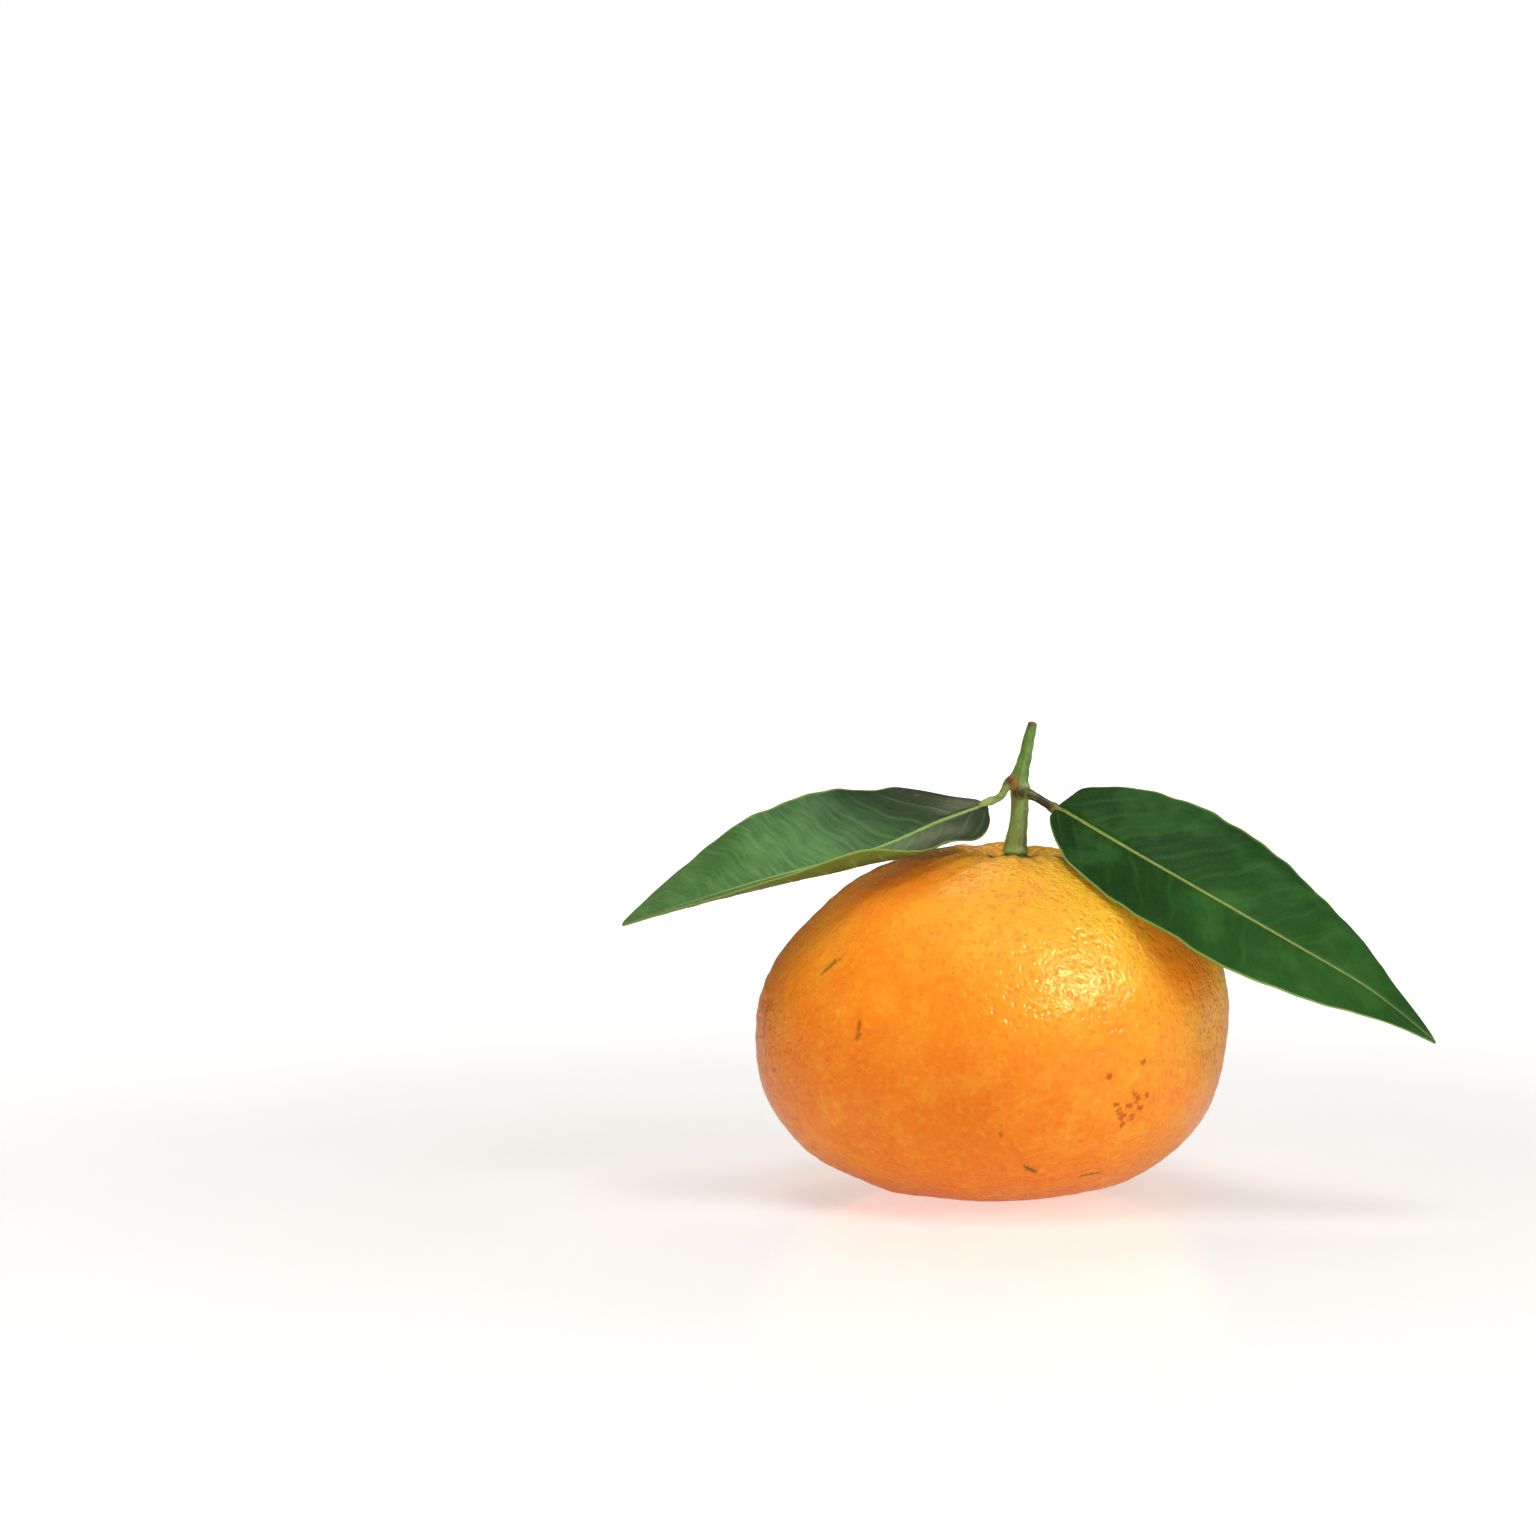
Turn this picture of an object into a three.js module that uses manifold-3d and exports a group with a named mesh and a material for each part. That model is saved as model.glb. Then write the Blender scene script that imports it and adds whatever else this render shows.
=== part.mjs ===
// A clementine as picked: one fruit on a short green twig with two leaves.
// Lengths are millimetres and +Z is up. The fruit stands on a small flat spot, and the origin is the middle
// of that spot. +X runs towards the longer leaf, and both leaves lean a little towards -Y.
import * as THREE from 'three';
import { LoftGeometry } from 'three/addons/geometries/LoftGeometry.js';
import { mergeVertices } from 'three/addons/utils/BufferGeometryUtils.js';
import Module from 'manifold-3d';

const { cos, sin, exp, PI } = Math;
const TURN = 2 * PI;
const WELD = 1e-3; // points closer than this are one point
const STRAIGHT = 1e-6; // an arc that turns less than this is a straight line
const { degToRad, lerp, smoothstep } = THREE.MathUtils;
const UP = new THREE.Vector3(0, 0, 1);
const at = (x, y, z) => new THREE.Vector3(x, y, z);

// ---- driving dimensions ----

// The fruit: a flattened globe, fuller below its girth than above, with the stem end pressed in.
const FRUIT_RADIUS = 30;
const CROWN_RISE = 23.5; // girth to the top of the dome, before the dimple
const BASE_DROP = 22.4; // girth to the bottom, before the flat spot
const GIRTH_CENTRE = at(0, 0, 21.8);
const CROWN_FULLNESS = 2.0; // exponents of the two half outlines: 2 is an ellipse, more is squarer
const BASE_FULLNESS = 2.45;
const DIMPLE_DEPTH = 3.2;
const DIMPLE_RADIUS = 6.2;
const FURROW_DEPTH = 0.35; // the shallow grooves that run out of the dimple
const FURROW_COUNT = 9;
const FURROW_REACH = 8; // where they are deepest, from the axis
// each: waves round the girth, their height as a share of the radius, phase
const OUT_OF_ROUND = [[1, 0.003, 0.4], [2, 0.008, 1.1], [3, 0.006, 2.5]];
const CROWN_LEAN = degToRad(1.5); // the crown tips over towards this heading
const LEAN_HEADING = degToRad(-40);
const CROWN_SHIFT = at(2.6, -0.9, 0); // and its middle stands off to one side
const LEAN_FROM = -4.7; // both grow from this height, measured from the girth, to the top
const FRUIT_SIDES = 54;
const FRUIT_ROWS = 28;

// The calyx: a thin green star with five lobes, lying in the dimple under the stem.
const CALYX_RADIUS = 3.3;
const CALYX_LOBE = 0.8; // how far a lobe's tip reaches past that
const CALYX_THICKNESS = 0.7;
const CALYX_THINNING = 0.5; // the share of its thickness lost at the lobes' tips
const CALYX_GAP = 0.45; // straight up from the dimple's floor
const CALYX_LOBES = 5;
const CALYX_SIDES = 40;
const CALYX_ROWS = 12;

// The stem: the fruit's own stalk up to the leaf node, and the thinner twig that it was cut from.
const STEM_ROUTE = [
  at(3.1, -1.2, 45), at(3.4, -1.2, 47.4), at(3.57, -1.2, 49.9),
  at(3.53, -1.2, 52.2), at(4.1, -1.2, 55.3), at(5.2, -1.2, 60.2),
];
const STEM_RADII = [1.75, 1.3, 1.15, 1.07, 1.2, 1, 0.84, 0.66, 0.58]; // evenly along it, from the calyx up
const STEM_FOOT_GAP = 0.5; // above the calyx, on the axis
const STEM_SIDES = 16;
const STEM_ROWS = 22;

// The leaves. Each half of a blade leaves the midrib at an angle above the horizontal, and curls up from
// there to its margin. Both are degrees, given evenly from the leaf's base to its tip. The near half is the
// one at -Y.
const LEFT_LEAF = {
  midrib: [
    at(-0.9, -1.5, 49.4), at(-6.2, -2.6, 47.7), at(-15, -4.6, 44.1), at(-30, -7.6, 40.2), at(-46.9, -9, 35),
  ],
  halfWidth: 11.2,
  rise: 0.6,
  taper: 0.85,
  near: { start: [-39, -28, -23, -13, -3, 5], curl: [0, 46, 69, 40, 13, 4] },
  far: { start: [14, 37, 48, 48, 40, 33], curl: [0, 0, 0, 0, 0, 0] },
};
const RIGHT_LEAF = {
  midrib: [
    at(8.2, -1.1, 49.3), at(18.3, -8.4, 43.6), at(36.1, -18.4, 33.7), at(45.6, -20.9, 28.1),
    at(53.9, -20.1, 21.5),
  ],
  halfWidth: 12,
  rise: 0.59,
  taper: 0.98,
  near: { start: [-17, -17, -19, -26, -32, -29], curl: [6, 5, 4, 2, 1, 3] },
  far: { start: [49, 41, 36, 32, 33, 45], curl: [0, -3, -4, -4, -2, 0] },
};
const BLADE_THICKNESS = 0.42;
const MARGIN_THICKNESS = 0.24;
const MIDRIB_BULGE = 0.55; // the midrib stands out below the blade
const MIDRIB_HALF_WIDTH = 0.6;
const BLADE_END = 0.012; // the share of the midrib left out at either end, where a blade has no width
const BLADE_COLUMNS = 7; // across each half
const BLADE_ROWS = 30;

// The petioles: short stalks that carry the blades, thickest where they leave the stem.
const LEFT_PETIOLE = {
  route: [
    at(1.5, -1.3, 52.3), at(1.25, -1.3, 51.3), at(0.75, -1.35, 50.45), at(-0.1, -1.45, 49.95),
    at(-0.7, -1.5, 49.6),
  ],
  radii: [0.6, 0.58, 0.58, 0.6],
};
const RIGHT_PETIOLE = {
  route: [at(5.2, -1.2, 50.8), at(6.15, -1.2, 50.4), at(7.1, -1.15, 49.85), at(7.95, -1.1, 49.4)],
  radii: [0.6, 0.55, 0.55, 0.66],
};
const PETIOLE_SIDES = 12;
const PETIOLE_ROWS = 8;

const GROUND_WIDTH = 4 * FRUIT_RADIUS; // of the block below the flat spot that trims the fruit

// ---- the fruit's surface ----

// Height of the crown above the girth, at a distance from the fruit's axis and an angle round it.
function crownHeight(radius, angle) {
  const reach = Math.min(1, radius / FRUIT_RADIUS);
  const dome = CROWN_RISE * (1 - reach ** CROWN_FULLNESS) ** (1 / CROWN_FULLNESS);
  const dimple = DIMPLE_DEPTH * exp(-((radius / DIMPLE_RADIUS) ** 2));
  const share = radius / FURROW_REACH;
  const furrow = FURROW_DEPTH * share ** 2 * exp(1 - share ** 2) * (0.5 + 0.5 * cos(FURROW_COUNT * angle));
  return dome - dimple - furrow;
}

// Takes a point of the upright fruit, measured from its girth's centre, to where it stands with its crown
// leaning over.
function leaned(point) {
  const axis = at(-sin(LEAN_HEADING), cos(LEAN_HEADING), 0);
  const share = smoothstep(point.z, LEAN_FROM, CROWN_RISE);
  point.applyAxisAngle(axis, CROWN_LEAN * share);
  return point.addScaledVector(CROWN_SHIFT, share).add(GIRTH_CENTRE);
}

// A point of the skin: the polar angle runs from 0 at the stem end to PI at the bottom.
function fruitPoint(angle, polar) {
  const crown = polar < PI / 2;
  const radius = FRUIT_RADIUS * sin(polar) ** (2 / (crown ? CROWN_FULLNESS : BASE_FULLNESS));
  const base = -BASE_DROP * Math.abs(cos(polar)) ** (2 / BASE_FULLNESS);
  const height = crown ? crownHeight(radius, angle) : base;
  const wave = ([count, size, phase]) => size * cos(count * angle - phase);
  const roundness = OUT_OF_ROUND.reduce((sum, entry) => sum + wave(entry), 1);
  return leaned(at(radius * roundness * cos(angle), radius * roundness * sin(angle), height));
}

// ---- meshes and solids ----

// A ring of points, from a function of an angle that runs once round anticlockwise.
const ring = (sides, pointAt) => Array.from({ length: sides }, (_, i) => pointAt((TURN * i) / sides));
const rows = (count, make) => Array.from({ length: count + 1 }, (_, i) => make(i / count));
const skin = (sections) => new LoftGeometry(sections, { capStart: true, capEnd: true });

const wasm = await Module();
wasm.setup();

function solidOf(geometry) {
  const bare = new THREE.BufferGeometry();
  bare.setAttribute('position', geometry.getAttribute('position')).setIndex(geometry.index);
  const merged = mergeVertices(bare, WELD);
  const vertProperties = merged.attributes.position.array;
  const triVerts = new Uint32Array(merged.index.array);
  return new wasm.Manifold(new wasm.Mesh({ numProp: 3, vertProperties, triVerts }));
}

function geometryOf(solid) {
  const { vertProperties, triVerts } = solid.getMesh();
  const geometry = new THREE.BufferGeometry();
  geometry.setAttribute('position', new THREE.BufferAttribute(vertProperties, 3));
  geometry.setIndex(new THREE.BufferAttribute(triVerts, 1));
  geometry.computeVertexNormals();
  return geometry;
}

// A sphere whose points are moved, each by its angle round the axis and its polar angle from the top.
function moulded(sides, bands, pointAt) {
  const geometry = new THREE.SphereGeometry(1, sides, bands).rotateX(PI / 2);
  const position = geometry.getAttribute('position');
  const point = new THREE.Vector3();
  for (let i = 0; i < position.count; i += 1) {
    point.fromBufferAttribute(position, i);
    const polar = Math.acos(THREE.MathUtils.clamp(point.z, -1, 1));
    position.setXYZ(i, ...pointAt(Math.atan2(point.y, point.x), polar));
  }
  geometry.computeVertexNormals();
  return geometry;
}

// A value read along a list that is spread evenly from 0 to 1, smooth at each entry.
function spread(values, share) {
  const place = share * (values.length - 1);
  const i = Math.min(Math.floor(place), values.length - 2);
  return lerp(values[i], values[i + 1], smoothstep(place - i, 0, 1));
}

// The whole fruit, trimmed flat where it stands.
function fruitGeometry() {
  const whole = moulded(FRUIT_SIDES, FRUIT_ROWS, fruitPoint);
  const ground = new THREE.BoxGeometry(GROUND_WIDTH, GROUND_WIDTH, FRUIT_RADIUS);
  ground.translate(0, 0, -FRUIT_RADIUS / 2);
  return geometryOf(solidOf(whole).subtract(solidOf(ground)));
}

// The star follows the dimple's floor a gap above it, and thins towards its lobes' tips.
function calyxPoint(angle, polar) {
  const share = sin(polar);
  const radius = (CALYX_RADIUS + CALYX_LOBE * cos(CALYX_LOBES * angle)) * share;
  const thickness = CALYX_THICKNESS * (1 - CALYX_THINNING * share ** 2);
  const lift = (0.5 + 0.5 * cos(polar)) * thickness;
  const height = crownHeight(radius, angle) + CALYX_GAP + lift;
  return leaned(at(radius * cos(angle), radius * sin(angle), height));
}

// A round stalk along a route, with its radius read evenly along it and its rings square to it.
function stalkGeometry(route, radii, sides, count) {
  const curve = new THREE.CatmullRomCurve3(route);
  const { normals, binormals } = curve.computeFrenetFrames(count, false);
  const sections = rows(count, (share) => {
    const i = Math.round(share * count);
    const centre = curve.getPointAt(share);
    const radius = spread(radii, share);
    return ring(sides, (angle) => centre.clone()
      .addScaledVector(normals[i], radius * cos(angle))
      .addScaledVector(binormals[i], radius * sin(angle)));
  });
  return skin(sections);
}

const petioleGeometry = ({ route, radii }) => stalkGeometry(route, radii, PETIOLE_SIDES, PETIOLE_ROWS);

// ---- leaves ----

// A blade's half-width as a share of its widest, along its length: rounded at the base and drawn out at
// the tip.
function bladeOutline({ rise, taper }, along) {
  const widest = rise / (rise + taper);
  return (along / widest) ** rise * ((1 - along) / (1 - widest)) ** taper;
}

// How far an arc that starts at an angle and turns evenly gets, [outward, upward], after a length of it.
function arc(start, turn, length) {
  if (Math.abs(turn) < STRAIGHT) return [length * cos(start), length * sin(start)];
  const radius = length / turn;
  return [radius * (sin(start + turn) - sin(start)), radius * (cos(start) - cos(start + turn))];
}

// One cross section of a blade: over its top from the far margin to the near one, and back below.
function bladeSection(leaf, curve, along) {
  const centre = curve.getPointAt(along);
  const forward = curve.getTangentAt(along);
  const near = forward.clone().cross(UP).normalize();
  if (near.y > 0) near.negate();
  const above = near.clone().cross(forward).normalize();
  if (above.z < 0) above.negate();
  const half = leaf.halfWidth * bladeOutline(leaf, along);
  const point = (across, side) => {
    const share = Math.abs(across);
    const { start, curl } = across > 0 ? leaf.near : leaf.far;
    const towards = across > 0 ? 1 : -1;
    const from = degToRad(spread(start, along));
    const turn = degToRad(spread(curl, along)) * share;
    const [out, up] = arc(from, turn, half * share);
    const thick = lerp(BLADE_THICKNESS, MARGIN_THICKNESS, share ** 2);
    const bell = exp(-((half * across / MIDRIB_HALF_WIDTH) ** 2));
    const bulge = side < 0 ? MIDRIB_BULGE * (1 - along) * bell : 0;
    const offset = side * (thick / 2) - bulge;
    const lie = (from + turn) * Math.min(1, (half * share) / MIDRIB_HALF_WIDTH);
    return centre.clone()
      .addScaledVector(near, towards * (out - offset * sin(lie)))
      .addScaledVector(above, up + offset * cos(lie));
  };
  const across = rows(2 * BLADE_COLUMNS, (share) => lerp(-1, 1, share));
  const topSide = across.map((share) => point(share, 1));
  const underside = across.reverse().map((share) => point(share, -1));
  return [...topSide, ...underside];
}

function bladeGeometry(leaf) {
  const curve = new THREE.CatmullRomCurve3(leaf.midrib);
  const place = (share) => lerp(BLADE_END, 1 - BLADE_END, share);
  const sections = rows(BLADE_ROWS, (share) => bladeSection(leaf, curve, place(share)));
  const forward = curve.getTangentAt(0.5);
  if (forward.x < 0) sections.forEach((section) => section.reverse());
  return skin(sections);
}

// ---- the assembly ----

const PEEL = new THREE.MeshStandardMaterial({ color: 0xf08a24, roughness: 0.45, metalness: 0 });
const LEAF_GREEN = new THREE.MeshStandardMaterial({ color: 0x2c5a2e, roughness: 0.4, metalness: 0 });
const STEM_GREEN = new THREE.MeshStandardMaterial({ color: 0x5f7a3c, roughness: 0.65, metalness: 0 });
const CALYX_GREEN = new THREE.MeshStandardMaterial({ color: 0x7d8c45, roughness: 0.7, metalness: 0 });

const clementine = new THREE.Group();

function add(name, geometry, material) {
  const mesh = new THREE.Mesh(geometry, material);
  mesh.name = name;
  clementine.add(mesh);
}

const calyxTop = crownHeight(0, 0) + CALYX_GAP + CALYX_THICKNESS;
const stemFoot = leaned(at(0, 0, calyxTop + STEM_FOOT_GAP));

add('fruit', fruitGeometry(), PEEL);
add('calyx', moulded(CALYX_SIDES, CALYX_ROWS, calyxPoint), CALYX_GREEN);
add('stem', stalkGeometry([stemFoot, ...STEM_ROUTE], STEM_RADII, STEM_SIDES, STEM_ROWS), STEM_GREEN);
add('petiole_left', petioleGeometry(LEFT_PETIOLE), STEM_GREEN);
add('petiole_right', petioleGeometry(RIGHT_PETIOLE), STEM_GREEN);
add('leaf_left', bladeGeometry(LEFT_LEAF), LEAF_GREEN);
add('leaf_right', bladeGeometry(RIGHT_LEAF), LEAF_GREEN);

export default clementine;
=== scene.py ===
# %% [markdown]
# # A clementine on its twig
# This lesson finishes one clementine: the fruit, the little calyx star under its stalk, the green twig, and
# two leaves on their stalks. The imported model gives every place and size. Each of its plain solids is
# replaced by a finer surface of the same shape, and each surface gets a finish made of shader nodes.

# %% Load the frame
import math

import bpy
import numpy as np
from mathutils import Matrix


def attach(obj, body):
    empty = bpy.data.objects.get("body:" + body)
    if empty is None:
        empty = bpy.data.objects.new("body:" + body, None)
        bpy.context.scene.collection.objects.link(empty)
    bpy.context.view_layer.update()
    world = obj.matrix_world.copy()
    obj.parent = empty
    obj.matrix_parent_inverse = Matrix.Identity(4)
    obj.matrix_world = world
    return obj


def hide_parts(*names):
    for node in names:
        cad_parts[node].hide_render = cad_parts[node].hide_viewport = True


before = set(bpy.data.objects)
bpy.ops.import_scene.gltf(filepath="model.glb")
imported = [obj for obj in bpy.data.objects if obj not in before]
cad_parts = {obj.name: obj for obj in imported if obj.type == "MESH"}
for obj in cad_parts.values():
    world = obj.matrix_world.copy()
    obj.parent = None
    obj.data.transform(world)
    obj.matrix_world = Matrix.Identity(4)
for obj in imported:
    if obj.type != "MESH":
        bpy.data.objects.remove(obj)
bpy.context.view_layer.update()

MM = 0.001
print("CAD nodes:", sorted(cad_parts))

# %% [markdown]
# ## The camera
# The fruit is seen from the front and a little above, through a long lens, so it looks flat-sided and calm.
# The camera stands about half a metre away and looks slightly down. The fruit sits low and right of the
# middle, which leaves room for the leaves. A short lens nearer by would bulge the front of the fruit and
# shrink the leaves.

# %% Camera
CAMERA_PLACE = np.array([-28.48, -543.02, 88.41]) * MM
CAMERA_DIP = math.radians(3.6)
LENS = 100.0
SENSOR_WIDTH = 36.0
NEAREST_SEEN = 0.01

camera_data = bpy.data.cameras.new("camera")
camera_data.lens = LENS
camera_data.sensor_width = SENSOR_WIDTH
camera_data.clip_start = NEAREST_SEEN
camera = bpy.data.objects.new("camera", camera_data)
camera.location = CAMERA_PLACE
camera.rotation_euler = (math.pi / 2 - CAMERA_DIP, 0.0, 0.0)
bpy.context.scene.collection.objects.link(camera)
bpy.context.scene.camera = camera
print("camera at", [round(float(v), 3) for v in CAMERA_PLACE])

# %% [markdown]
# ## Turning arrays into closed meshes
# Every piece here is a grid of points: rows run from one end of the piece to the other, and each row is a
# ring. One function skins such a grid. It joins neighbouring rings with quads and closes both ends with a
# fan to the ring's middle, so each piece is a sealed body. If the body has a negative volume, its faces
# look inwards, and the function turns them round.

# %% Mesh helper
TINY = 1e-12


def skin(name, grid, **values):
    """A closed mesh through grid, an array (rows, places round the ring, 3). Each value in values is an
    array (rows, places) that is kept on the mesh's points as a named attribute."""
    rows, places = grid.shape[:2]
    index = np.arange(rows * places).reshape(rows, places)
    beside = np.roll(index, -1, axis=1)
    quads = np.stack([index[:-1], beside[:-1], beside[1:], index[1:]], -1).reshape(-1, 4)
    first_pole, last_pole = rows * places, rows * places + 1
    first_fan = np.stack([np.full(places, first_pole), beside[0], index[0]], -1)
    last_fan = np.stack([np.full(places, last_pole), index[-1], beside[-1]], -1)
    points = np.vstack([grid.reshape(-1, 3), grid[0].mean(0), grid[-1].mean(0)])
    fans = np.vstack([first_fan, last_fan])
    corners = np.vstack([quads[:, :3], quads[:, [0, 2, 3]], fans])
    a, b, c = points[corners[:, 0]], points[corners[:, 1]], points[corners[:, 2]]
    volume = np.einsum("ij,ij->i", a, np.cross(b, c)).sum() / 6
    if volume < 0:
        quads, fans = quads[:, ::-1], fans[:, ::-1]
    mesh = bpy.data.meshes.new(name)
    mesh.from_pydata(points.tolist(), [], quads.tolist() + fans.tolist())
    mesh.polygons.foreach_set("use_smooth", np.ones(len(mesh.polygons), bool))
    for label, value in values.items():
        flat = np.concatenate([value.reshape(-1), [value[0].mean()], [value[-1].mean()]])
        layer = mesh.attributes.new(label, "FLOAT", "POINT")
        layer.data.foreach_set("value", flat.astype(np.float32))
    mesh.update()
    piece = bpy.data.objects.new(name, mesh)
    bpy.context.scene.collection.objects.link(piece)
    print(f"{name}: {len(corners)} triangles, {abs(volume) * 1e9:.0f} mm3")
    return piece


def stand_for(piece, node):
    """The piece rides on the only body and hides its plain CAD node."""
    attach(piece, "root")
    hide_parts(node)


def ease(value, low, high):
    """0 below low, 1 above high, and a smooth S between them."""
    share = np.clip((value - low) / (high - low), 0, 1)
    return share * share * (3 - 2 * share)


def spread(values, share):
    """Reads a short list that is spread evenly from 0 to 1, easing from each entry to the next."""
    values = np.asarray(values, float)
    place = share * (len(values) - 1)
    low = np.minimum(place.astype(int), len(values) - 2)
    return values[low] + (values[low + 1] - values[low]) * ease(place - low, 0, 1)


def outward(grid):
    """Unit normals of a grid of rings: the cross product of the ways along a ring and along the rows."""
    round_ring = np.roll(grid, -1, axis=1) - np.roll(grid, 1, axis=1)
    normal = np.cross(round_ring, np.gradient(grid, axis=0))
    normal /= np.maximum(np.linalg.norm(normal, axis=-1, keepdims=True), TINY)
    away = ((grid - grid.mean((0, 1))) * normal).sum() > 0
    return normal if away else -normal


# %% [markdown]
# ## Natural unevenness
# Nothing that grew is perfectly smooth. Two kinds of unevenness are enough here. Ripples are many sine
# waves in random directions added together, which gives soft swells with no pattern. Cells are the distance
# to the nearest of many scattered points, one in each box of a jittered lattice, which gives the small pits
# over the oil glands.

# %% Ripples and cells
SEED = 12
HASH_MIX = np.array([[127.1, 311.7, 74.7], [269.5, 183.3, 246.1], [113.5, 271.9, 124.6]])
HASH_STRETCH = 4375.85

rng = np.random.default_rng(SEED)


def ripples(points, wavelength, waves=14):
    """Soft swells of about that wavelength, roughly from -1 to 1: a sum of sines along random directions."""
    ways = rng.normal(size=(waves, 3))
    ways *= (2 * math.pi / wavelength) / np.linalg.norm(ways, axis=1, keepdims=True)
    phases = rng.uniform(0, 2 * math.pi, waves)
    return np.sin(points @ ways.T + phases).sum(-1) / math.sqrt(waves / 2) / 2


def cells(points, spacing):
    """Distance to the nearest scattered point, in spacings. Each box of a lattice holds one point, placed in
    it by a hash of the box's whole-number address, and the 27 boxes round each place are looked at."""
    place = points / spacing
    home = np.floor(place)
    nearest = np.full(points.shape[:-1], np.inf)
    for step in np.ndindex(3, 3, 3):
        box = home + np.array(step) - 1
        jitter = np.modf(np.abs(np.sin(box @ HASH_MIX.T)) * HASH_STRETCH)[0]
        nearest = np.minimum(nearest, np.linalg.norm(box + jitter - place, axis=-1))
    return nearest


# %% [markdown]
# ## The fruit
# A clementine is a flattened globe, fuller below its girth than above, pressed in at the stem end, with
# short furrows running out of the dimple. A sculptor would push this shape out of a ball by hand. Here it
# is a formula of two angles, the same one that the CAD solid uses, so both agree everywhere. The finer grid
# then takes what the CAD solid leaves out: swells, gland pits, wrinkles round the calyx, and a slightly
# hollow blossom end.

# %% Fruit dimensions
FRUIT_RADIUS = 30 * MM
CROWN_RISE = 23.5 * MM
BASE_DROP = 22.4 * MM
GIRTH_CENTRE = np.array([0, 0, 21.8]) * MM
CROWN_FULLNESS = 2.0
BASE_FULLNESS = 2.45
DIMPLE_DEPTH = 3.2 * MM
DIMPLE_RADIUS = 6.2 * MM
FURROW_DEPTH = 0.35 * MM
FURROW_COUNT = 9
FURROW_REACH = 8 * MM
# each: waves round the girth, height as a share of the radius, where it starts in radians
OUT_OF_ROUND = ((1, 0.003, 0.4), (2, 0.008, 1.1), (3, 0.006, 2.5))
CROWN_LEAN = math.radians(1.5)
LEAN_HEADING = math.radians(-40)
CROWN_SHIFT = np.array([2.6, -0.9, 0]) * MM
LEAN_FROM = -4.7 * MM
FRUIT_SIDES = 432
FRUIT_ROWS = 228


# %% Fruit surface
def crown_height(radius, angle):
    """Height of the crown above the girth: an elliptic dome, less a bell-shaped dimple, less the furrows."""
    share = np.minimum(1, radius / FRUIT_RADIUS)
    dome = CROWN_RISE * (1 - share**CROWN_FULLNESS) ** (1 / CROWN_FULLNESS)
    dimple = DIMPLE_DEPTH * np.exp(-((radius / DIMPLE_RADIUS) ** 2))
    reach = radius / FURROW_REACH
    furrow = FURROW_DEPTH * reach**2 * np.exp(1 - reach**2) * (0.5 + 0.5 * np.cos(FURROW_COUNT * angle))
    return dome - dimple - furrow


def leaned(points):
    """Moves upright points to where the fruit stands: turned about a level axis and shifted, more with
    height. The turn is Rodrigues' formula, which turns a point about an axis by an angle."""
    share = ease(points[..., 2:], LEAN_FROM, CROWN_RISE)
    axis = np.array([-math.sin(LEAN_HEADING), math.cos(LEAN_HEADING), 0])
    turn = CROWN_LEAN * share
    along_axis = axis * (points @ axis)[..., None]
    across_axis = np.cross(axis, points)
    turned = points * np.cos(turn) + across_axis * np.sin(turn) + along_axis * (1 - np.cos(turn))
    return turned + CROWN_SHIFT * share + GIRTH_CENTRE


def fruit_point(angle, polar):
    """The smooth skin. Its radius is a power of the polar angle's sine, and waves round the girth alter it."""
    crown = polar < math.pi / 2
    radius = FRUIT_RADIUS * np.sin(polar) ** np.where(crown, 2 / CROWN_FULLNESS, 2 / BASE_FULLNESS)
    base = -BASE_DROP * np.abs(np.cos(polar)) ** (2 / BASE_FULLNESS)
    height = np.where(crown, crown_height(radius, angle), base)
    roundness = 1 + sum(size * np.cos(waves * angle - phase) for waves, size, phase in OUT_OF_ROUND)
    wide = radius * roundness
    return leaned(np.stack([wide * np.cos(angle), wide * np.sin(angle), height], -1))


# %% [markdown]
# The fruit's grid is laid out by the two angles, then pushed in and out along its own normals. The swells
# are two tenths of a millimetre high and a centimetre long, which is enough to break up a highlight. The
# pits are shallower still. Below, the fruit's weight presses it level, so every point is lifted to just
# above the ground, with a soft bend in place of a crease.

# %% Fruit mesh
SWELL = 0.2 * MM
SWELL_LENGTH = 11 * MM
PEBBLE = 0.05 * MM
PEBBLE_LENGTH = 2.4 * MM
PIT_SPACING = 1.9 * MM
PIT_DEPTH = 0.06 * MM
PIT_FLOOR = 0.12
PIT_RIM = 0.5
WRINKLE = 0.1 * MM
WRINKLE_COUNT = 31
WRINKLE_SWAY = 2.5
WRINKLE_SWAY_LENGTH = 9 * MM
WRINKLES_RISE = (2.5 * MM, 5 * MM)
WRINKLES_FADE = (7 * MM, 14 * MM)
CROWN_UNTIL = 1.0
UNDERSIDE_FROM = 2.0
POLE_GAP = 0.008
HOLLOW_RADIUS = 5.0 * MM
HOLLOW_DEPTH = 0.9 * MM
GROUND_BEND = 0.5 * MM

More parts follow.
